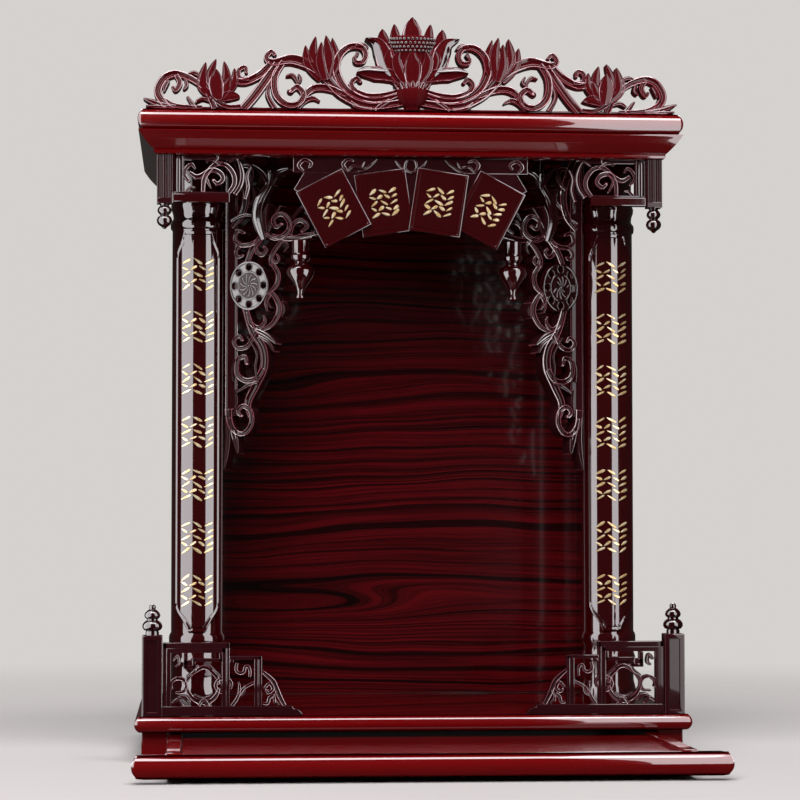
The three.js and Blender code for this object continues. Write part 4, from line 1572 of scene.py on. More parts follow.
@dataclass
class Bracket:
    """A carved openwork bracket, turned forward from its column, with its turned pendant.

    Guide points are (distance from the hinge line as seen from the front, height).
    """

    cant: float = math.radians(25)
    hinge_x: float = -160.0
    hinge_back_of_column: float = 8.0
    thickness: float = 14.0
    front_sink: float = 0.6
    facet: float = 1.4
    stile_width: float = 11.2
    disc_sink: float = 0.9
    medallion_centre: Point = (21.0, 417.0)
    medallion_size: Point = (17.0, 22.2)
    holes: int = 8
    hole_reach: float = 0.755
    hole_radius: float = 0.158
    quarter_facets: int = 10
    sector: Point = (0.5, 0.97)
    hub_radius: float = 0.52
    blades: int = 11
    strands: tuple[Strand, ...] = (
        Strand([(3, 306), (4.5, 294), (9, 286), (15, 283)], [8, 6, 5, 4]),
        curl([(12, 283.5), (19, 285), (24, 293), (23, 304), (16.5, 308.5), (12.2, 303.5), (15.5, 299.5)],
             [4, 5, 5, 5, 4.4, 4, 3], 2.0, 1.5),
        Strand([(23.5, 298), (20.5, 311), (27, 326), (34.5, 343), (33.5, 360), (24, 377), (18, 396)],
               [4, 7, 8, 8, 8, 7, 6]),
        Strand([(29, 330), (27, 343), (28, 356), (20, 371)], [1.4, 2.6, 2.6, 1.4], Section.ROUND, (0.8, 0.8)),
        curl([(34, 342), (28, 333), (18, 331.5), (11, 338), (12, 350), (18.5, 352.5), (20, 346)],
             [5, 5.4, 5, 5, 4.6, 4, 3], 2.2, 1.5),
        leaf([(28, 330), (20, 327), (11, 321)], [5, 4.4, 1.2]),
        leaf([(7, 331), (6.5, 342), (8.5, 351)], [1.2, 3, 1.2]),
        curl([(27, 374), (21, 363), (12.5, 360.5), (8.2, 366.5), (13, 371.5), (16, 367.5)],
             [3, 4.4, 4.2, 4, 3.4, 2.6], 1.8, 1.2),
        Strand([(20, 393), (23, 383), (30, 378.5), (35.5, 384), (34, 390)], [3, 4.4, 4.4, 3.4, 1.2]),
        leaf([(27, 377), (36, 372), (45, 364)], [5, 6, 1.2]),
        leaf([(30, 371), (38, 365.5), (43, 357)], [3, 4.4, 1.2]),
        Strand([(32, 376), (42, 381.5), (48, 393), (46, 403), (40.5, 411)], [3, 4.6, 5.4, 5, 3.6]),
        Strand([(38, 393), (36.5, 401), (40, 408)], [1.4, 3.4, 3.4], lift=(0.6, 0)),
        leaf([(35, 408), (37, 402), (41, 396)], [3, 3.4, 1.4]),
        Strand([(38, 409), (45.5, 416.5), (47, 427), (41.5, 436)], [3, 4.6, 4.8, 4]),
        leaf([(50, 402), (52, 394), (50, 388)], [1, 2.6, 1]),
        Strand([(41, 434), (41, 442), (47, 452), (53, 458)], [3.4, 4.4, 4.2, 3.6]),
        curl([(42, 440), (45, 436.5), (48, 440), (46, 444)], [2.4, 3, 3, 2], 1.4, 1),
        Strand([(19.5, 438), (24, 449), (32, 460), (37, 466)], [5, 6, 6.4, 6]),
        curl([(34, 463), (26, 455.5), (15.5, 453.5), (9, 459), (12, 466.5), (17.5, 464.5)],
             [4, 4.4, 4.4, 4.2, 3.6, 2.8], 1.8, 1.2),
        curl([(21, 454), (13.5, 453), (9.5, 448), (11.5, 443), (16, 444.5)], [3, 3.8, 3.8, 3.4, 2.4], 1.6),
        curl([(27, 457), (28, 448), (33, 444), (37, 448), (34.5, 451.5)], [2.6, 4, 4, 3.4, 2.4], 1.6, 1),
        leaf([(37, 463), (35, 478), (38, 490)], [4, 6, 1.6], (1.5, 1.0)),
        leaf([(36.5, 463), (41, 474), (49, 488)], [3.4, 5, 1.2], (0.8, 0.4)),
        Strand([(37, 462), (45, 458.5), (55, 463), (57.5, 472), (51, 480), (43.5, 476), (46, 468.5),
                (51, 471)], [3, 4.4, 5, 5, 4.6, 4.2, 3.6, 2.8], lift=(0.5, 2.5), knob=2.4),
        Strand([(42, 461), (57, 457.8), (70, 460), (82, 462)], [4, 5, 5, 2.6]),
        curl([(58, 461), (60, 470), (67, 474), (73, 468.5), (68, 463.5)], [3, 4.2, 4.4, 4, 2.8], 1.8, 1.2),
        leaf([(81, 459), (79, 469), (70, 481)], [4, 5, 1.2]),
        leaf([(60, 476), (66, 484), (74, 488)], [2, 4, 1.2]),
        leaf([(50, 458), (55, 452), (52, 446)], [2, 3.4, 1.2]),
        Strand([(6, 470), (15, 482), (18.5, 500), (14, 520), (6, 538)], [4, 7, 7, 7, 6]),
        leaf([(5, 476), (17, 481), (29, 478)], [3, 4, 1.4]),
        leaf([(20, 488), (26, 496), (24, 506)], [2, 4.4, 1.2]),
        curl([(16, 506), (23, 514), (22, 524), (15, 524.5), (17, 518)], [2.4, 4, 4, 3.4, 2.2], 1.6),
        leaf([(38, 508), (33, 518), (24, 526)], [5, 6.4, 1.2]),
        leaf([(40, 508), (46, 518), (56, 521)], [5, 6.4, 1.2]),
        leaf([(4, 298), (8, 282), (11.5, 266)], [3, 7, 1.0]),
        leaf([(1.4, 306), (2.4, 278), (-0.5, 252)], [5, 5, 1.0]),
        leaf([(8, 300), (10, 312), (9, 324)], [1.4, 3.4, 1.2]),
    )
    bright_leaves: tuple[Strand, ...] = (
        petal([(34, 458), (28.5, 478), (31, 494), (39.5, 509), (39.5, 526), (38, 545)],
              [6, 10, 9, 6, 5, 4], (0.8, 1.6)),
    )

    def medallion(self, front: float, back: float) -> BMesh:
        """The oval medallion: a ring of round holes about a pinwheel rosette.

        Args:
            front: Y of the bracket's front plane.
            back: Y of its back.

        Returns:
            The closed parts, before the bracket is turned forward.
        """
        cx, cz = self.medallion_centre
        rx, rz = self.medallion_size
        part = bmesh.new()
        directions = [math.tau * i / self.holes for i in range(self.holes)]
        for angle in directions:
            self.medallion_wedge(part, angle, math.tau / self.holes)
        bmesh.ops.remove_doubles(part, verts=part.verts, dist=WELD)
        extrude(part, part.faces, (0, back - front - 1.5, 0))
        stretch = Matrix.Diagonal((rx, 1.0, rz, 1.0))
        level = front + self.disc_sink
        place = Matrix.Translation((cx, level, cz))
        bmesh.ops.transform(part, matrix=place @ stretch, verts=part.verts)
        for radius, width, proud in ((0.955, 2.2, 0.9), (0.56, 1.5, 0.7)):
            merge_in(part, self.hoop(radius, width, level - proud, front + 6))
        for angle in directions:
            spot = (cx + self.hole_reach * rx * math.cos(angle), cz + self.hole_reach * rz * math.sin(angle))
            merge_in(part, self.ring(spot, 3.0, 3.8, 0.9, front + 0.45, front + 2.5))
        for i in range(self.blades):
            angle = math.tau * i / self.blades
            course = []
            for reach in (0.08, 0.28, 0.46):
                bend = angle + 1.5 * (0.5 - reach)
                course.append((cx + rx * reach * math.cos(bend), cz + rz * reach * math.sin(bend)))
            blade = Strand(course, [0.8, 1.7, 2.2], Section.ROUND)
            merge_in(part, sweep(blade, front + 0.1, front + 5, 0.9))
        eye = sphere(2.0, 14, 8)
        shift(eye, cx, front + 1.2, cz)
        merge_in(part, eye)
        return part

    def medallion_wedge(self, part: BMesh, middle: float, spread: float) -> None:
        """Adds one sector of the pierced disc, in units of the medallion's size.

        Args:
            part: The disc so far.
            middle: Direction of the sector's hole.
            spread: Angle that the sector covers.
        """
        steps = self.quarter_facets
        full = 4 * steps
        hole: list[Vector] = []
        border: list[Vector] = []
        hole_centre = Vector((math.cos(middle), math.sin(middle))) * self.hole_reach
        for i in range(full):
            turn = math.tau * i / full
            direction = Vector((math.cos(middle + turn), math.sin(middle + turn)))
            hole.append(hole_centre + direction * self.hole_radius)
            border.append(self.wedge_edge(hole_centre, direction, middle, spread))
        hole_verts = [part.verts.new((p.x, 0, p.y)) for p in hole]
        border_verts = [part.verts.new((p.x, 0, p.y)) for p in border]
        for i in range(full):
            j = (i + 1) % full
            part.faces.new((hole_verts[i], hole_verts[j], border_verts[j], border_verts[i]))
        arc = [middle + spread * (k / steps - 0.5) for k in range(steps + 1)]
        reach = self.hub_radius
        rim = [part.verts.new((reach * math.cos(a), 0, reach * math.sin(a))) for a in arc]
        hub = part.verts.new((0, 0, 0))
        for first, second in zip(rim, rim[1:]):
            part.faces.new((hub, first, second))

    def wedge_edge(self, start: Vector, direction: Vector, middle: float, spread: float) -> Vector:
        """Where a ray from the hole's centre leaves its sector of the disc.

        Args:
            start: The hole's centre.
            direction: The ray's direction.
            middle: Direction of the sector's middle.
            spread: Angle that the sector covers.

        Returns:
            The point on the sector's border.
        """
        inner, outer = self.sector
        best = math.inf
        for sign in (-1, 1):
            edge = middle + sign * spread / 2
            normal = Vector((-math.sin(edge), math.cos(edge))) * sign
            slope = direction.dot(normal)
            if slope > PARALLEL:
                best = min(best, -start.dot(normal) / slope)
        along_ray = start.dot(direction)
        room = along_ray * along_ray - start.length_squared + outer * outer
        best = min(best, -along_ray + math.sqrt(room))
        gap = along_ray * along_ray - start.length_squared + inner * inner
        if gap > 0 and along_ray < 0:
            best = min(best, -along_ray - math.sqrt(gap))
        return start + direction * best

    def is_hub_ground(self, face: BMFace, level: float) -> bool:
        """Whether a medallion face is the flat ground between the rosette's blades.

        Args:
            face: The face.
            level: Y of the ground.

        Returns:
            True for the ground's faces.
        """
        middle = face.calc_center_median()
        across = (middle.x - self.medallion_centre[0]) / self.medallion_size[0]
        up = (middle.z - self.medallion_centre[1]) / self.medallion_size[1]
        return math.hypot(across, up) < 0.5 and abs(middle.y - level) < 0.05

    def hoop(self, radius: float, width: float, front: float, back: float) -> BMesh:
        """A raised oval line around the medallion at a share of its size.

        Args:
            radius: Its share of the medallion's size.
            width: Its width.
            front: Y of its crown.
            back: Y of its back.

        Returns:
            The closed ring.
        """
        cx, cz = self.medallion_centre
        rx, rz = self.medallion_size
        return self.ring((cx, cz), rx * radius, rz * radius, width, front, back, 56)

    @staticmethod
    def ring(
        centre: Point, rx: float, rz: float, width: float, front: float, back: float, sides: int = 20,
    ) -> BMesh:
        """A closed rounded ring in the XZ plane.

        Args:
            centre: Its middle as (x, z).
            rx: Its half width.
            rz: Its half height.
            width: Width of its band.
            front: Y of its crown.
            back: Y of its back.
            sides: Facets of a full turn.

        Returns:
            The closed ring.
        """
        part = bmesh.new()
        half = width / 2
        section = [(half * math.cos(a), half * math.sin(a)) for a in (math.pi * k / 5 for k in range(6))]
        verts = [part.verts.new((rx + across, front + half - up, 0)) for across, up in section]
        verts += [part.verts.new((rx + across, back, 0)) for across in (-half, half)]
        edges = [part.edges.new((verts[i - 1], verts[i])) for i in range(len(verts))]
        bmesh.ops.spin(part, geom=verts + edges, cent=(0, 0, 0), axis=(0, 1, 0), angle=math.tau,
                       steps=sides, use_merge=True)
        bmesh.ops.remove_doubles(part, verts=part.verts, dist=WELD / 10)
        bmesh.ops.recalc_face_normals(part, faces=part.faces)
        bmesh.ops.scale(part, vec=(1, 1, rz / rx), verts=part.verts)
        shift(part, centre[0], 0, centre[1])
        return part

    def build(self, palette: Palette) -> None:
        """Builds both brackets and pendants.

        Args:
            palette: All finishes.
        """
        column = NodeBox.of("column" + LEFT)
        hinge_y = column.y1 - Column.ring_radius - self.hinge_back_of_column
        top = NodeBox.of("bracket" + LEFT).z1
        back = self.thickness / 2
        front = -back + self.front_sink
        part = carve(self.strands, front, back, self.facet)
        perch = Strand([(50, 459.5), (60, 459), (70, 458.6), (76, 459)], [3, 5, 5.6, 4], Section.ROUND)
        merge_in(part, sweep(perch, front + 0.4, back))
        medallion = self.medallion(front, back)
        for face in medallion.faces:
            face.material_index = 0 if self.is_hub_ground(face, front + self.disc_sink) else POLISHED
        merge_in(part, medallion)
        merge_in(part, polish(carve(self.bright_leaves, front, back, self.facet)))
        for vert in part.verts:
            x, y = vert.co.x, vert.co.y
            vert.co.x = self.hinge_x + x + y * math.sin(self.cant)
            vert.co.y = hinge_y - x * math.tan(self.cant) + y * math.cos(self.cant)
        upright = self.hinge_x + 3.3
        stile = Strand([(upright, 300), (upright, 420), (upright, top)], [self.stile_width] * 3,
                       Section.HOLLOW)
        merge_in(part, sweep(stile, hinge_y - 8.0, hinge_y + 4.6, 30.0))
        finish_pair("bracket", "_carved", part, palette.plum, palette.polished_plum)
        self.build_pendants(palette)

    @staticmethod
    def build_pendants(palette: Palette) -> None:
        """Builds both turned pendants.

        Args:
            palette: All finishes.
        """
        for side in (LEFT, RIGHT):
            node = "pendant" + side
            box = NodeBox.of(node)
            profile = [(0, box.z0), (2.6, box.z0 + 0.2), (4.3, 404.6), (4.4, 406), (3.2, 408), (3.0, 410.5),
                       (5.0, 414), (8.5, 419), (11.6, 423.6), (13.0, 427.6), (12.6, 431), (10.4, 433.6),
                       (7.4, 435.2), (6.7, 437), (8.0, 438.4), (9.2, 440), (9.2, 442.6), (8.2, 443.8),
                       (8.0, 446), (8.0, 454), (8.2, box.z1), (0, box.z1)]
            part = turned(profile, (box.centre.x, box.centre.y), 40)
            finish_piece(node + "_turned", part, palette.oxblood, CABINET, [node])


# ---- Crest ----


@dataclass
class Crest:
    """The openwork crest: lotus flowers and scrolls, carved as one.

    Guide points are (distance from the middle, height over the roof slab).
    """

    pod_depth: float = 0.30
    pod_sink: float = 1.8
    calyx_depth: float = 0.6
    calyx_sink: float = 3.6
    sepals: int = 7
    bead_radius: float = 1.5
    bead_rows: tuple[tuple[float, float, int], ...] = (
        (53.6, 15.0, 12), (56.8, 18.4, 15), (60.2, 20.3, 16), (63.8, 20.4, 17),
    )
    carving_depth: float = 14.0
    facet: float = 1.35
    least_height: float = 0.3
    front_inset: float = 0.5
    scrolls: tuple[Strand, ...] = (
        curl([(10, 19), (22, 15), (38, 13.5), (50, 18), (53.5, 24.5), (49, 29), (45.5, 25.5)],
             [4.5, 5, 5, 5, 4.6, 4, 3], 2.0, 1.5),
        curl([(10, 16), (34, 9), (56, 17), (66.5, 34), (64.5, 48), (55.5, 56.5), (45, 56.5), (41, 50),
              (43.5, 43.5), (49.5, 43), (51, 47)], [4, 6, 7, 7.4, 7, 6, 5.4, 5, 4.4, 3.8, 2.6], 1.7, 2.0),
        leaf([(50, 57.5), (44, 58.5), (38.5, 55.5)], [1.4, 4, 1.0], (0.6, 1.4)),
        curl([(8, 8), (38, 5), (62, 15), (82, 35), (104, 44.5), (122, 42), (128, 46), (124, 51.5),
              (120.5, 48.5)], [6, 8, 9, 9.6, 9.6, 6.6, 4.6, 4, 3], 1.7, 1.0),
        curl([(113, 43), (120.5, 30), (119.5, 14), (110, 5), (100, 6), (95.5, 14), (101, 20.5), (107, 16.5)],
             [5, 6.6, 6.6, 6, 5.6, 5.4, 5, 4], 3.2, 2.0),
        Strand([(58, 14), (74, 20), (86, 20), (94, 14), (97, 8)], [4, 6.6, 6.6, 5.6, 4]),
        Strand([(100, 2), (94, 8.5), (87, 11), (81, 8)], [3, 4, 4, 1.4]),
        leaf([(101, 25), (105, 31), (111, 30)], [2, 3.6, 1.4]),
        leaf([(100, 32), (98, 27), (102, 23)], [1.2, 3, 2]),
        Strand([(119, 41), (128, 27), (138, 13), (148, 1)], [6, 8, 8.4, 8]),
        Strand([(124, 41), (134, 31), (147, 25), (161, 26)], [6, 7.4, 7, 5]),
        curl([(143, 27), (151.5, 28.5), (152, 35), (146.5, 37.5), (145.5, 32.5)], [3, 4, 4, 3.6, 2.6], 1.6),
        Strand([(149, 3), (162, 2.6), (173, 9), (177, 14)], [4.4, 4.4, 4.6, 4]),
        Strand([(178, 15), (186, 22), (196, 28), (208, 31), (218, 26), (222.5, 14), (214, 1)],
               [4, 5, 5.6, 6.6, 7, 7, 6.4]),
        Strand([(218, 9), (209, 3.5), (196, 1.8), (184, 2)], [3, 4.4, 4, 3]),
        curl([(207, 30), (203.5, 23), (207, 16.5), (209.5, 19)], [4, 5, 4, 2.6], 1.6, 1.0),
        leaf([(199, 27), (197.5, 21), (200.5, 17)], [2, 3.6, 1.4]),
        leaf([(213, 25), (216, 20), (217.5, 15)], [2, 4, 1.4]),
        leaf([(184, 28), (191, 32), (197, 30)], [1.2, 4, 2]),
        leaf([(197, 11), (190, 1)], [2, 5]),
        Strand([(180, 16), (176, 8), (173, 1)], [4, 5, 6]),
        leaf([(190, 6), (184, 9.5), (178, 8)], [1.4, 3.6, 3]),
        leaf([(207, 2), (220, 3.6), (235, 9)], [4, 7, 1.0]),
        leaf([(212, 2), (223, 1.6), (233, 2.4)], [4, 4, 1.0]),
        leaf([(121, 2), (127, 14), (124, 26)], [5, 4, 1.4]),
        leaf([(54, 8), (47, 3), (36, 2)], [3, 5, 3]),
        leaf([(20, 10), (28, 5), (33, 1)], [4, 5, 3]),
        leaf([(67, 40), (71.5, 45), (70.5, 51)], [1.6, 3.2, 1.0]),
        leaf([(47, 51), (50, 48), (48.5, 52.5)], [1.4, 2.4, 1.0], (1.5, 1.5)),
    )
    flowers: tuple[Strand, ...] = (
        # lotus bud on the long scroll
        petal([(80, 27), (91, 41), (94, 57)], [5, 9, 0.8], (0.4, 0.6)),
        petal([(73, 28), (66.5, 44), (70.5, 64)], [5, 8, 0.8], (0.4, 0.4)),
        petal([(77, 29), (87, 46), (85, 65)], [6, 9.5, 0.8], (1.0, 0.8)),
        petal([(75, 28), (73, 48), (76, 66)], [6, 9.5, 0.8], (1.4, 1.0)),
        petal([(76, 27), (80.5, 42), (80, 60)], [6, 9, 0.8], (2.2, 2.0)),
        # small side lotus
        petal([(173, 10), (184, 22), (181, 41)], [5, 10, 0.8], (0.6, 0.4)),
        petal([(173, 18), (177, 30), (172, 44)], [7, 8, 0.8]),
        petal([(166, 16), (163, 29), (165, 42)], [6, 8, 0.8], (0.6, 0.4)),
        petal([(164, 13), (156.5, 24), (156, 36)], [5, 8, 0.8], (1.0, 0.4)),
        petal([(170, 8), (172, 22), (172, 35)], [6, 14, 1.0], (2.4, 2.0)),
        petal([(169, 9), (160, 12), (151, 11)], [5, 9, 0.8], (1.8, 1.4)),
        petal([(170, 8), (164, 18), (160, 28)], [5, 9, 0.8], (1.8, 1.4)),
        # middle lotus: back petals, then the great curling petals, then the front ones
        petal([(14, 50), (14.5, 64), (16, 77)], [9, 9.5, 0.8], (0.4, 0.6)),
        petal([(20, 46), (25, 60), (26.5, 72.5)], [10, 12.5, 0.8], (0.6, 0.8)),
        petal([(9, 26), (17.5, 33), (23.5, 43), (26.5, 53), (31, 60.5), (41.5, 63.8)],
              [8, 14.5, 16.5, 15, 9, 0.8], (2.0, 2.6)),
        petal([(8, 27.5), (20, 31.5), (33, 33), (49, 33)], [6, 11.5, 12.5, 0.8], (3.0, 4.4)),
        petal([(9, 26), (17, 36), (20.5, 46), (19.5, 54)], [8, 12, 11, 1.0], (3.2, 2.4)),
        petal([(6, 25), (12, 36), (14, 45), (11.5, 52)], [7, 10.5, 9, 1.0], (4.8, 4.8)),
    )
    middle_petals: tuple[Strand, ...] = (
        petal([(0, 50), (0, 68), (0, 83.3)], [15, 17.5, 0.8], (0.8, 0.8)),
        petal([(0, 20.5), (0, 38), (0, 52.5)], [7, 16.5, 0.8], (5.4, 6.0)),
    )
    turned_edges: tuple[Strand, ...] = (
        Strand([(19.5, 30.5), (26.8, 40), (30.4, 50.5), (33, 58.8), (41, 63.5)],
               [1.2, 6.0, 7.2, 6.0, 0.8], Section.TURNED_EDGE, (5.4, 5.6)),
        Strand([(49, 33.4), (42, 36.3), (33, 36.4), (22, 34.3)],
               [0.8, 5.0, 5.6, 1.2], Section.TURNED_EDGE, (6.0, 5.8)),
    )

    def middle_parts(self, front: float, back: float, base: float) -> BMesh:
        """The middle petals, the seed pod and the calyx with its sepals.

        Args:
            front: Y of the carving's front plane.
            back: Y of its back.
            base: Z of the roof slab's top.

        Returns:
            The closed parts.
        """
        part = bmesh.new()
        for strand in self.middle_petals:
            merge_in(part, sweep(self.raised(strand, base), front, back, FINE_FACET))
        pod = [(0, 24), (11, 28), (13.5, 38), (13.5, 50), (18.4, 56.5), (20.6, 61.5), (19.6, 65), (15, 67),
               (0, 67.6)]
        calyx = [(0, 0.4), (6, 0.8), (7.6, 3.4), (11.6, 7), (14.0, 11.5), (15.0, 16.5), (14.2, 21),
                 (10, 24.6), (0, 25.4)]
        for profile, steps, sides, depth, sink in (
            (pod, 3, 48, self.pod_depth, self.pod_sink), (calyx, 4, 40, self.calyx_depth, self.calyx_sink),
        ):
            body = turned(smooth_profile(profile, steps), (0, 0), sides)
            bmesh.ops.scale(body, vec=(1, depth, 1), verts=body.verts)
            shift(body, 0, front + sink, base)
            merge_in(part, body)
        for i in range(self.sepals):
            lean = 2 * i / (self.sepals - 1) - 1
            course = [(lean * 11.5, base + 20), (lean * 13.5, base + 23),
                      (lean * 16, base + 26.5 - 2 * abs(lean))]
            proud = 3.0 * math.sqrt(1 - lean * lean) + 1.9
            merge_in(part, sweep(leaf(course, [4.4, 6, 1.4], (proud, proud + 0.8)), front, back, FINE_FACET))
        return part

    def beads(self, front: float, base: float) -> BMesh:
        """The rows of beads round the seed pod.

        Args:
            front: Y of the carving's front plane.
            base: Z of the roof slab's top.

        Returns:
            The closed beads.
        """
        part = bmesh.new()
        for height, reach, count in self.bead_rows:
            for i in range(count):
                turn = math.pi * (i + 0.5) / count
                bead = sphere(self.bead_radius, 10, 6)
                y = front + self.pod_sink - reach * self.pod_depth * math.sin(turn)
                shift(bead, reach * math.cos(turn), y, base + height)
                merge_in(part, bead)
        return part

    def build(self, palette: Palette) -> None:
        """Builds the crest.

        Args:
            palette: All finishes.
        """
        box = NodeBox.of("crest")
        slab = NodeBox.of("roof_slab")
        base = slab.z1
        back = box.y1
        front = back - self.carving_depth
        edges = carve([self.raised(strand, base) for strand in self.turned_edges], front, back, self.facet)
        merge_in(edges, mirror_copy(edges))
        merge_in(edges, self.beads(front, base))
        for vert in edges.verts:
            vert.co.y = max(vert.co.y, slab.y0 + self.front_inset)
        finish_piece("crest_edges_and_beads", edges, palette.oxblood, CABINET, [])
        strands = [self.raised(strand, base) for strand in self.scrolls + self.flowers]
        halves = carve(strands, front, back, self.facet)
        part = mirror_copy(halves)
        merge_in(part, halves)
        merge_in(part, self.middle_parts(front, back, base))
        foot = base + self.least_height
        merge_in(part, block((-212, front + 3, foot), (212, back - 3, base + 2.6), 0.6))
        for vert in part.verts:
            vert.co.z = max(vert.co.z, foot)
            vert.co.y = max(vert.co.y, slab.y0 + self.front_inset)
        finish_piece("crest_carved", part, palette.lotus, CABINET, ["crest"],
                     palette.soft_lotus)

    @staticmethod
    def raised(strand: Strand, base: float) -> Strand:
        """The same strand with heights counted from the ground, on the left half."""
        return replace(strand, guides=[(-x, base + z) for x, z in strand.guides])


# ---- Railings ----


@dataclass
class Railing:
    """The corner railings: a panelled post with its finial, and stepped fret panels."""

    head: float = 108.0
    post_edge: float = 0.9
    foot_edge: float = 0.5
    bar_edge: float = 0.55
    least_panel_area: float = 600.0
    strands: tuple[Strand, ...] = (
        Strand([(-208, 62), (-209, 67), (-204, 71), (-198, 69.5), (-196, 64), (-199, 59.5), (-205, 59)],
               [2, 3, 3.4, 3.2, 3, 3, 2]),
        Strand([(-158.5, 62), (-157.5, 67), (-162, 71), (-168, 70), (-171, 64.5), (-167, 59.5), (-161, 59)],
               [2, 3, 3.4, 3.2, 3, 3, 2]),
        Strand([(-197, 66), (-192, 74), (-186, 78.5), (-181, 80.5), (-176, 78.5), (-170, 72), (-168, 66)],
               [2.4, 3.4, 3.6, 3.8, 3.6, 3.4, 2.4]),
        Strand([(-196, 63), (-192, 56), (-187, 52), (-181, 50.5), (-175, 52), (-170, 57), (-168, 63)],
               [2.4, 3.8, 4.2, 4.6, 4.2, 3.8, 2.4]),
        leaf([(-193, 51), (-197, 55), (-203, 55.5)], [2, 4.6, 1.2], (0.4, 0.4)),
        leaf([(-189, 57), (-184, 54), (-178, 54.5), (-173, 58)], [1.4, 3.8, 3.8, 1.4], (0.8, 0.8)),
        leaf([(-196, 72), (-190, 76), (-186, 82)], [1.4, 3.8, 2], (0.5, 0)),
        leaf([(-167, 73), (-172, 77), (-176, 82)], [1.4, 3.8, 2], (0.5, 0)),
        leaf([(-185, 48), (-181, 53), (-177, 48)], [4, 4, 4], (0.8, 0.8)),
        leaf([(-208, 50), (-203, 53), (-199, 48)], [2, 4, 3]),
        leaf([(-207, 86), (-203.5, 90), (-202, 84), (-205, 81)], [2, 3, 3, 2]),
        Strand([(-157, 47.5), (-153, 53), (-150.5, 60), (-151, 68)], [3, 3, 3, 1.4]),
        Strand([(-151, 57), (-146, 63), (-137, 68)], [2.4, 3, 2.4]),
        leaf([(-151, 55), (-147, 58), (-146, 65)], [1.4, 2.8, 1.2]),
        Strand([(-152.5, 84), (-153.5, 78), (-150, 75.3), (-146.5, 77), (-146, 80.5), (-143, 81),
                (-141.5, 76.5), (-142, 72)], [2.6, 2.8, 2.8, 2.8, 2.6, 2.8, 2.6, 2]),
        Strand([(-131.5, 77), (-126, 72.5), (-121, 67), (-117, 57), (-112, 47.5)], [2.4, 4, 4.4, 4.6, 3.6]),
        curl([(-129.5, 62), (-125, 66.5), (-122, 62), (-125.5, 58.6), (-128, 61)],
             [2, 3, 3.2, 2.8, 2], 1.3, 0.8),
        Strand([(-130.5, 49.5), (-126.5, 49.5), (-125, 54), (-121.5, 56), (-120.5, 50)], [2, 3, 3.2, 3, 2.2]),
        leaf([(-118, 60), (-121, 54), (-117, 48)], [1.4, 3, 2]),
    )

    def post(self, box: NodeBox) -> BMesh:
        """The square post with sunk panels, and its turned finial.

        Args:
            box: The post's box.

        Returns:
            The closed parts.
        """
        cx, cy = box.centre.x, box.centre.y
        half = box.size.x / 2
        head = self.head
        part = block((cx - half, cy - half, box.z0), (cx + half, cy + half, head))
        upright = [edge for edge in part.edges if reach_of(edge, 2) > 1]
        top = [edge for edge in part.edges if lies_at(edge, 2, head)]
        bevel(part, upright + top, self.post_edge)
        tall = [face for face in part.faces
                if abs(face.normal.z) < 0.1 and face.calc_area() > self.least_panel_area]
        for face in tall:
            inset(part, face, ((3.2, 0.0), (0.5, -1.5)))
        finial = [(0, head - 1), (5.6, head - 1), (5.8, 110.4), (5.2, 111.6), (7.2, 112.4), (8.6, 114.6),
                  (8.4, 117), (7.0, 119.2), (4.8, 120.6), (4.6, 121.6), (6.2, 122.8), (6.9, 124.6),
                  (6.2, 127), (4.2, 129), (2.6, 130), (3.0, 131.4), (2.6, 133.2), (1.2, 134.2), (0, 134.3)]
        merge_in(part, turned(finial, (cx, cy), 32))
        return part

    def panel(self, box: NodeBox) -> BMesh:
        """The stepped frames with their fret and carving.

        Args:
            box: The railing's box.

        Returns:
            The closed parts.
        """
        front = box.y0 + 1.0
        back = box.y1 - 1.0
        left = box.x0
        part = carve(self.strands, front + 0.4, back - 0.4, FINE_FACET)
        foot = prism([(left, box.z0), (box.x1, box.z0), (box.x1 - 2.2, 42.6), (box.x1 - 5, 44.6),
                      (box.x1 - 8.4, 45.2), (box.x1 - 9.6, 47.5), (left, 47.5)], box.y0, box.y1)
        bevel(foot, foot.edges, self.foot_edge)
        merge_in(part, foot)
        bars = (
            (left, left + 3.4, 47, 101.5), (left + 3.0, left + 7.0, 47, 94), (left, -159, 96.5, 101.5),
            (left + 3.2, -162, 92.8, 97), (-161.6, -159, 47, 101.2), (-165.6, -161.8, 47, 97),
            (-159.4, -131.5, 86.8, 90), (-134.2, -131.4, 47, 90), (-138, -134.6, 47, 87.4),
            (-158.8, -155.6, 84, 87), (-198.4, -190.6, 82.2, 86.6), (-198.4, -194.6, 80, 92.6),
            (-190.6, -165, 85.2, 88.0), (-190.8, -188, 80, 88), (-168, -165, 85.2, 93),
            (-198.4, -188, 79.4, 82.4),
        )
        for x0, x1, z0, z1 in bars:
            merge_in(part, block((x0, front, z0), (x1, back, z1), self.bar_edge))
        return part

    def build(self, palette: Palette) -> None:
        """Builds both posts and both railings.

        Args:
            palette: All finishes.
        """
        for kind, make in (("railing_post", self.post), ("railing", self.panel)):
            part = make(NodeBox.of(kind + LEFT))
            finish_pair(kind, "_carved", part, palette.plum, palette.polished_plum)


# ---- Studio ----


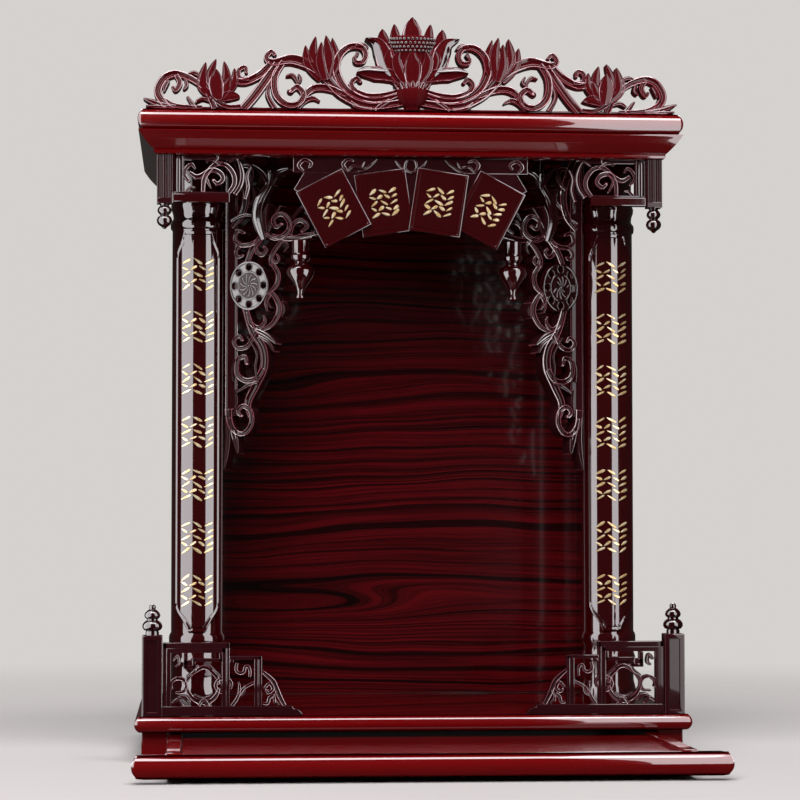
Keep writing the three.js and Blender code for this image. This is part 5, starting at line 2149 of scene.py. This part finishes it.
@dataclass
class Studio:
    """The pale floor, the soft lights and the camera."""

    distance: float = 2.2605
    eye_height: float = 0.2060
    aside: float = -0.1891
    yaw: float = math.radians(4.44)
    tilt: float = math.radians(2.61)
    lens: float = 118.77
    floor_radius: float = 1.7
    cloth: Colour = (0.42, 0.41, 0.40)
    pale: Colour = (0.66, 0.64, 0.62)
    dimming: float = 0.05
    sensor_width: float = 36.0
    daylight: Colour = (1.0, 0.965, 0.99)

    def floor(self) -> None:
        """Lays the pale round floor, which melts into the surroundings at its rim."""
        part = bmesh.new()
        bmesh.ops.create_circle(part, cap_ends=True, segments=96, radius=self.floor_radius)
        mesh = bpy.data.meshes.new("studio_floor")
        part.to_mesh(mesh)
        part.free()
        shader, sheet, place = start_shader("pale floor")
        reach = sheet.add("ShaderNodeVectorMath", {"operation": "LENGTH"}, Vector=place).outputs["Value"]
        fade = sheet.ramp(reach, 0.25 * self.floor_radius, 0.98 * self.floor_radius)
        cloth = sheet.add("ShaderNodeBsdfDiffuse", Color=rgba(self.cloth))
        clear = sheet.add("ShaderNodeBsdfTransparent")
        sheet.add("ShaderNodeOutputMaterial",
                  Surface=sheet.blend(fade, cloth.outputs[0], clear.outputs[0]))
        mesh.materials.append(shader)
        plane = bpy.data.objects.new("studio_floor", mesh)
        plane.visible_glossy = False
        bpy.context.scene.collection.objects.link(plane)

    def light(
        self, name: str, place: Sequence[float], size: Point, power: float, aim: Sequence[float],
        gloss: bool = True, matte: bool = True,
    ) -> None:
        """Hangs one soft light.

        Args:
            name: The light's name.
            place: Where it hangs.
            size: Its width and height.
            power: Its power in watts.
            aim: The point that it faces.
            gloss: Whether it shows as a reflection.
            matte: Whether it lights surfaces apart from their gloss.
        """
        lamp = bpy.data.lights.new(name, "AREA")
        lamp.shape = "RECTANGLE"
        lamp.size = size[0]
        lamp.size_y = size[1]
        lamp.energy = power
        lamp.color = self.daylight
        holder = bpy.data.objects.new(name, lamp)
        holder.location = place
        facing = Vector(aim) - Vector(place)
        holder.rotation_euler = facing.to_track_quat("-Z", "Y").to_euler()
        holder.visible_glossy = gloss
        holder.visible_diffuse = matte
        holder.visible_camera = False
        bpy.context.scene.collection.objects.link(holder)

    def set_up(self) -> None:
        """Sets up floor, lights, surroundings and camera."""
        self.floor()
        self.surround()
        self.place_camera()
        aim = (0.0, 0.0, 0.32)
        for name, x, y, width, power in (("window_left", -0.335, -0.18, 0.36, 8.8),
                                         ("window_right", 0.335, -0.45, 0.60, 14.5)):
            self.light(name, (x, y, 0.62), (width, 1.2), power, (0.0, y, 0.62), matte=False)
        self.light("ceiling", (0.0, -0.75, 2.0), (1.8, 0.75), 50.0, aim)
        self.light("back_ceiling", (0.0, 1.4, 1.7), (1.8, 0.5), 24.0, (0.0, 0.0, 0.6))
        self.light("front_fill", (-0.5, -2.2, 1.3), (1.4, 1.2), 66.0, aim, gloss=False)

    def surround(self) -> None:
        """Makes the surroundings: pale to the camera, dim in the light that they give."""
        world = bpy.data.worlds.new("studio")
        world.use_nodes = True
        sheet = NodeSheet(world.node_tree)
        path = sheet.add("ShaderNodeLightPath")
        dim, pale = (sheet.add("ShaderNodeBackground", Color=rgba(self.pale), Strength=strength).outputs[0]
                     for strength in (self.dimming, 1.0))
        sheet.add("ShaderNodeOutputWorld", Surface=sheet.blend(path.outputs["Is Camera Ray"], dim, pale))
        bpy.context.scene.world = world

    def place_camera(self) -> None:
        """Sets up the camera in front of the base."""
        base = NodeBox.of("base_board")
        lens = bpy.data.cameras.new("camera")
        lens.lens = self.lens
        lens.sensor_width = self.sensor_width
        camera = bpy.data.objects.new("camera", lens)
        camera.location = (self.aside, base.y0 * MM - self.distance, self.eye_height)
        camera.rotation_euler = (math.radians(90) + self.tilt, 0.0, -self.yaw)
        bpy.context.scene.collection.objects.link(camera)
        bpy.context.scene.camera = camera
        bpy.context.scene.view_settings.view_transform = "Standard"


def main() -> None:
    """Builds the cabinet's looks and sets up the studio."""
    logging.basicConfig(level=logging.INFO, format="%(message)s")
    palette = Palette.mixed()
    for builder in (
        Boards(), Cornice(), Column(), HangingPost(), HeadPanel(), Lintel(), Bracket(), Crest(), Railing(),
    ):
        log.info("building %s", type(builder).__name__)
        builder.build(palette)
    Studio().set_up()


if __name__ == "__main__":
    main()
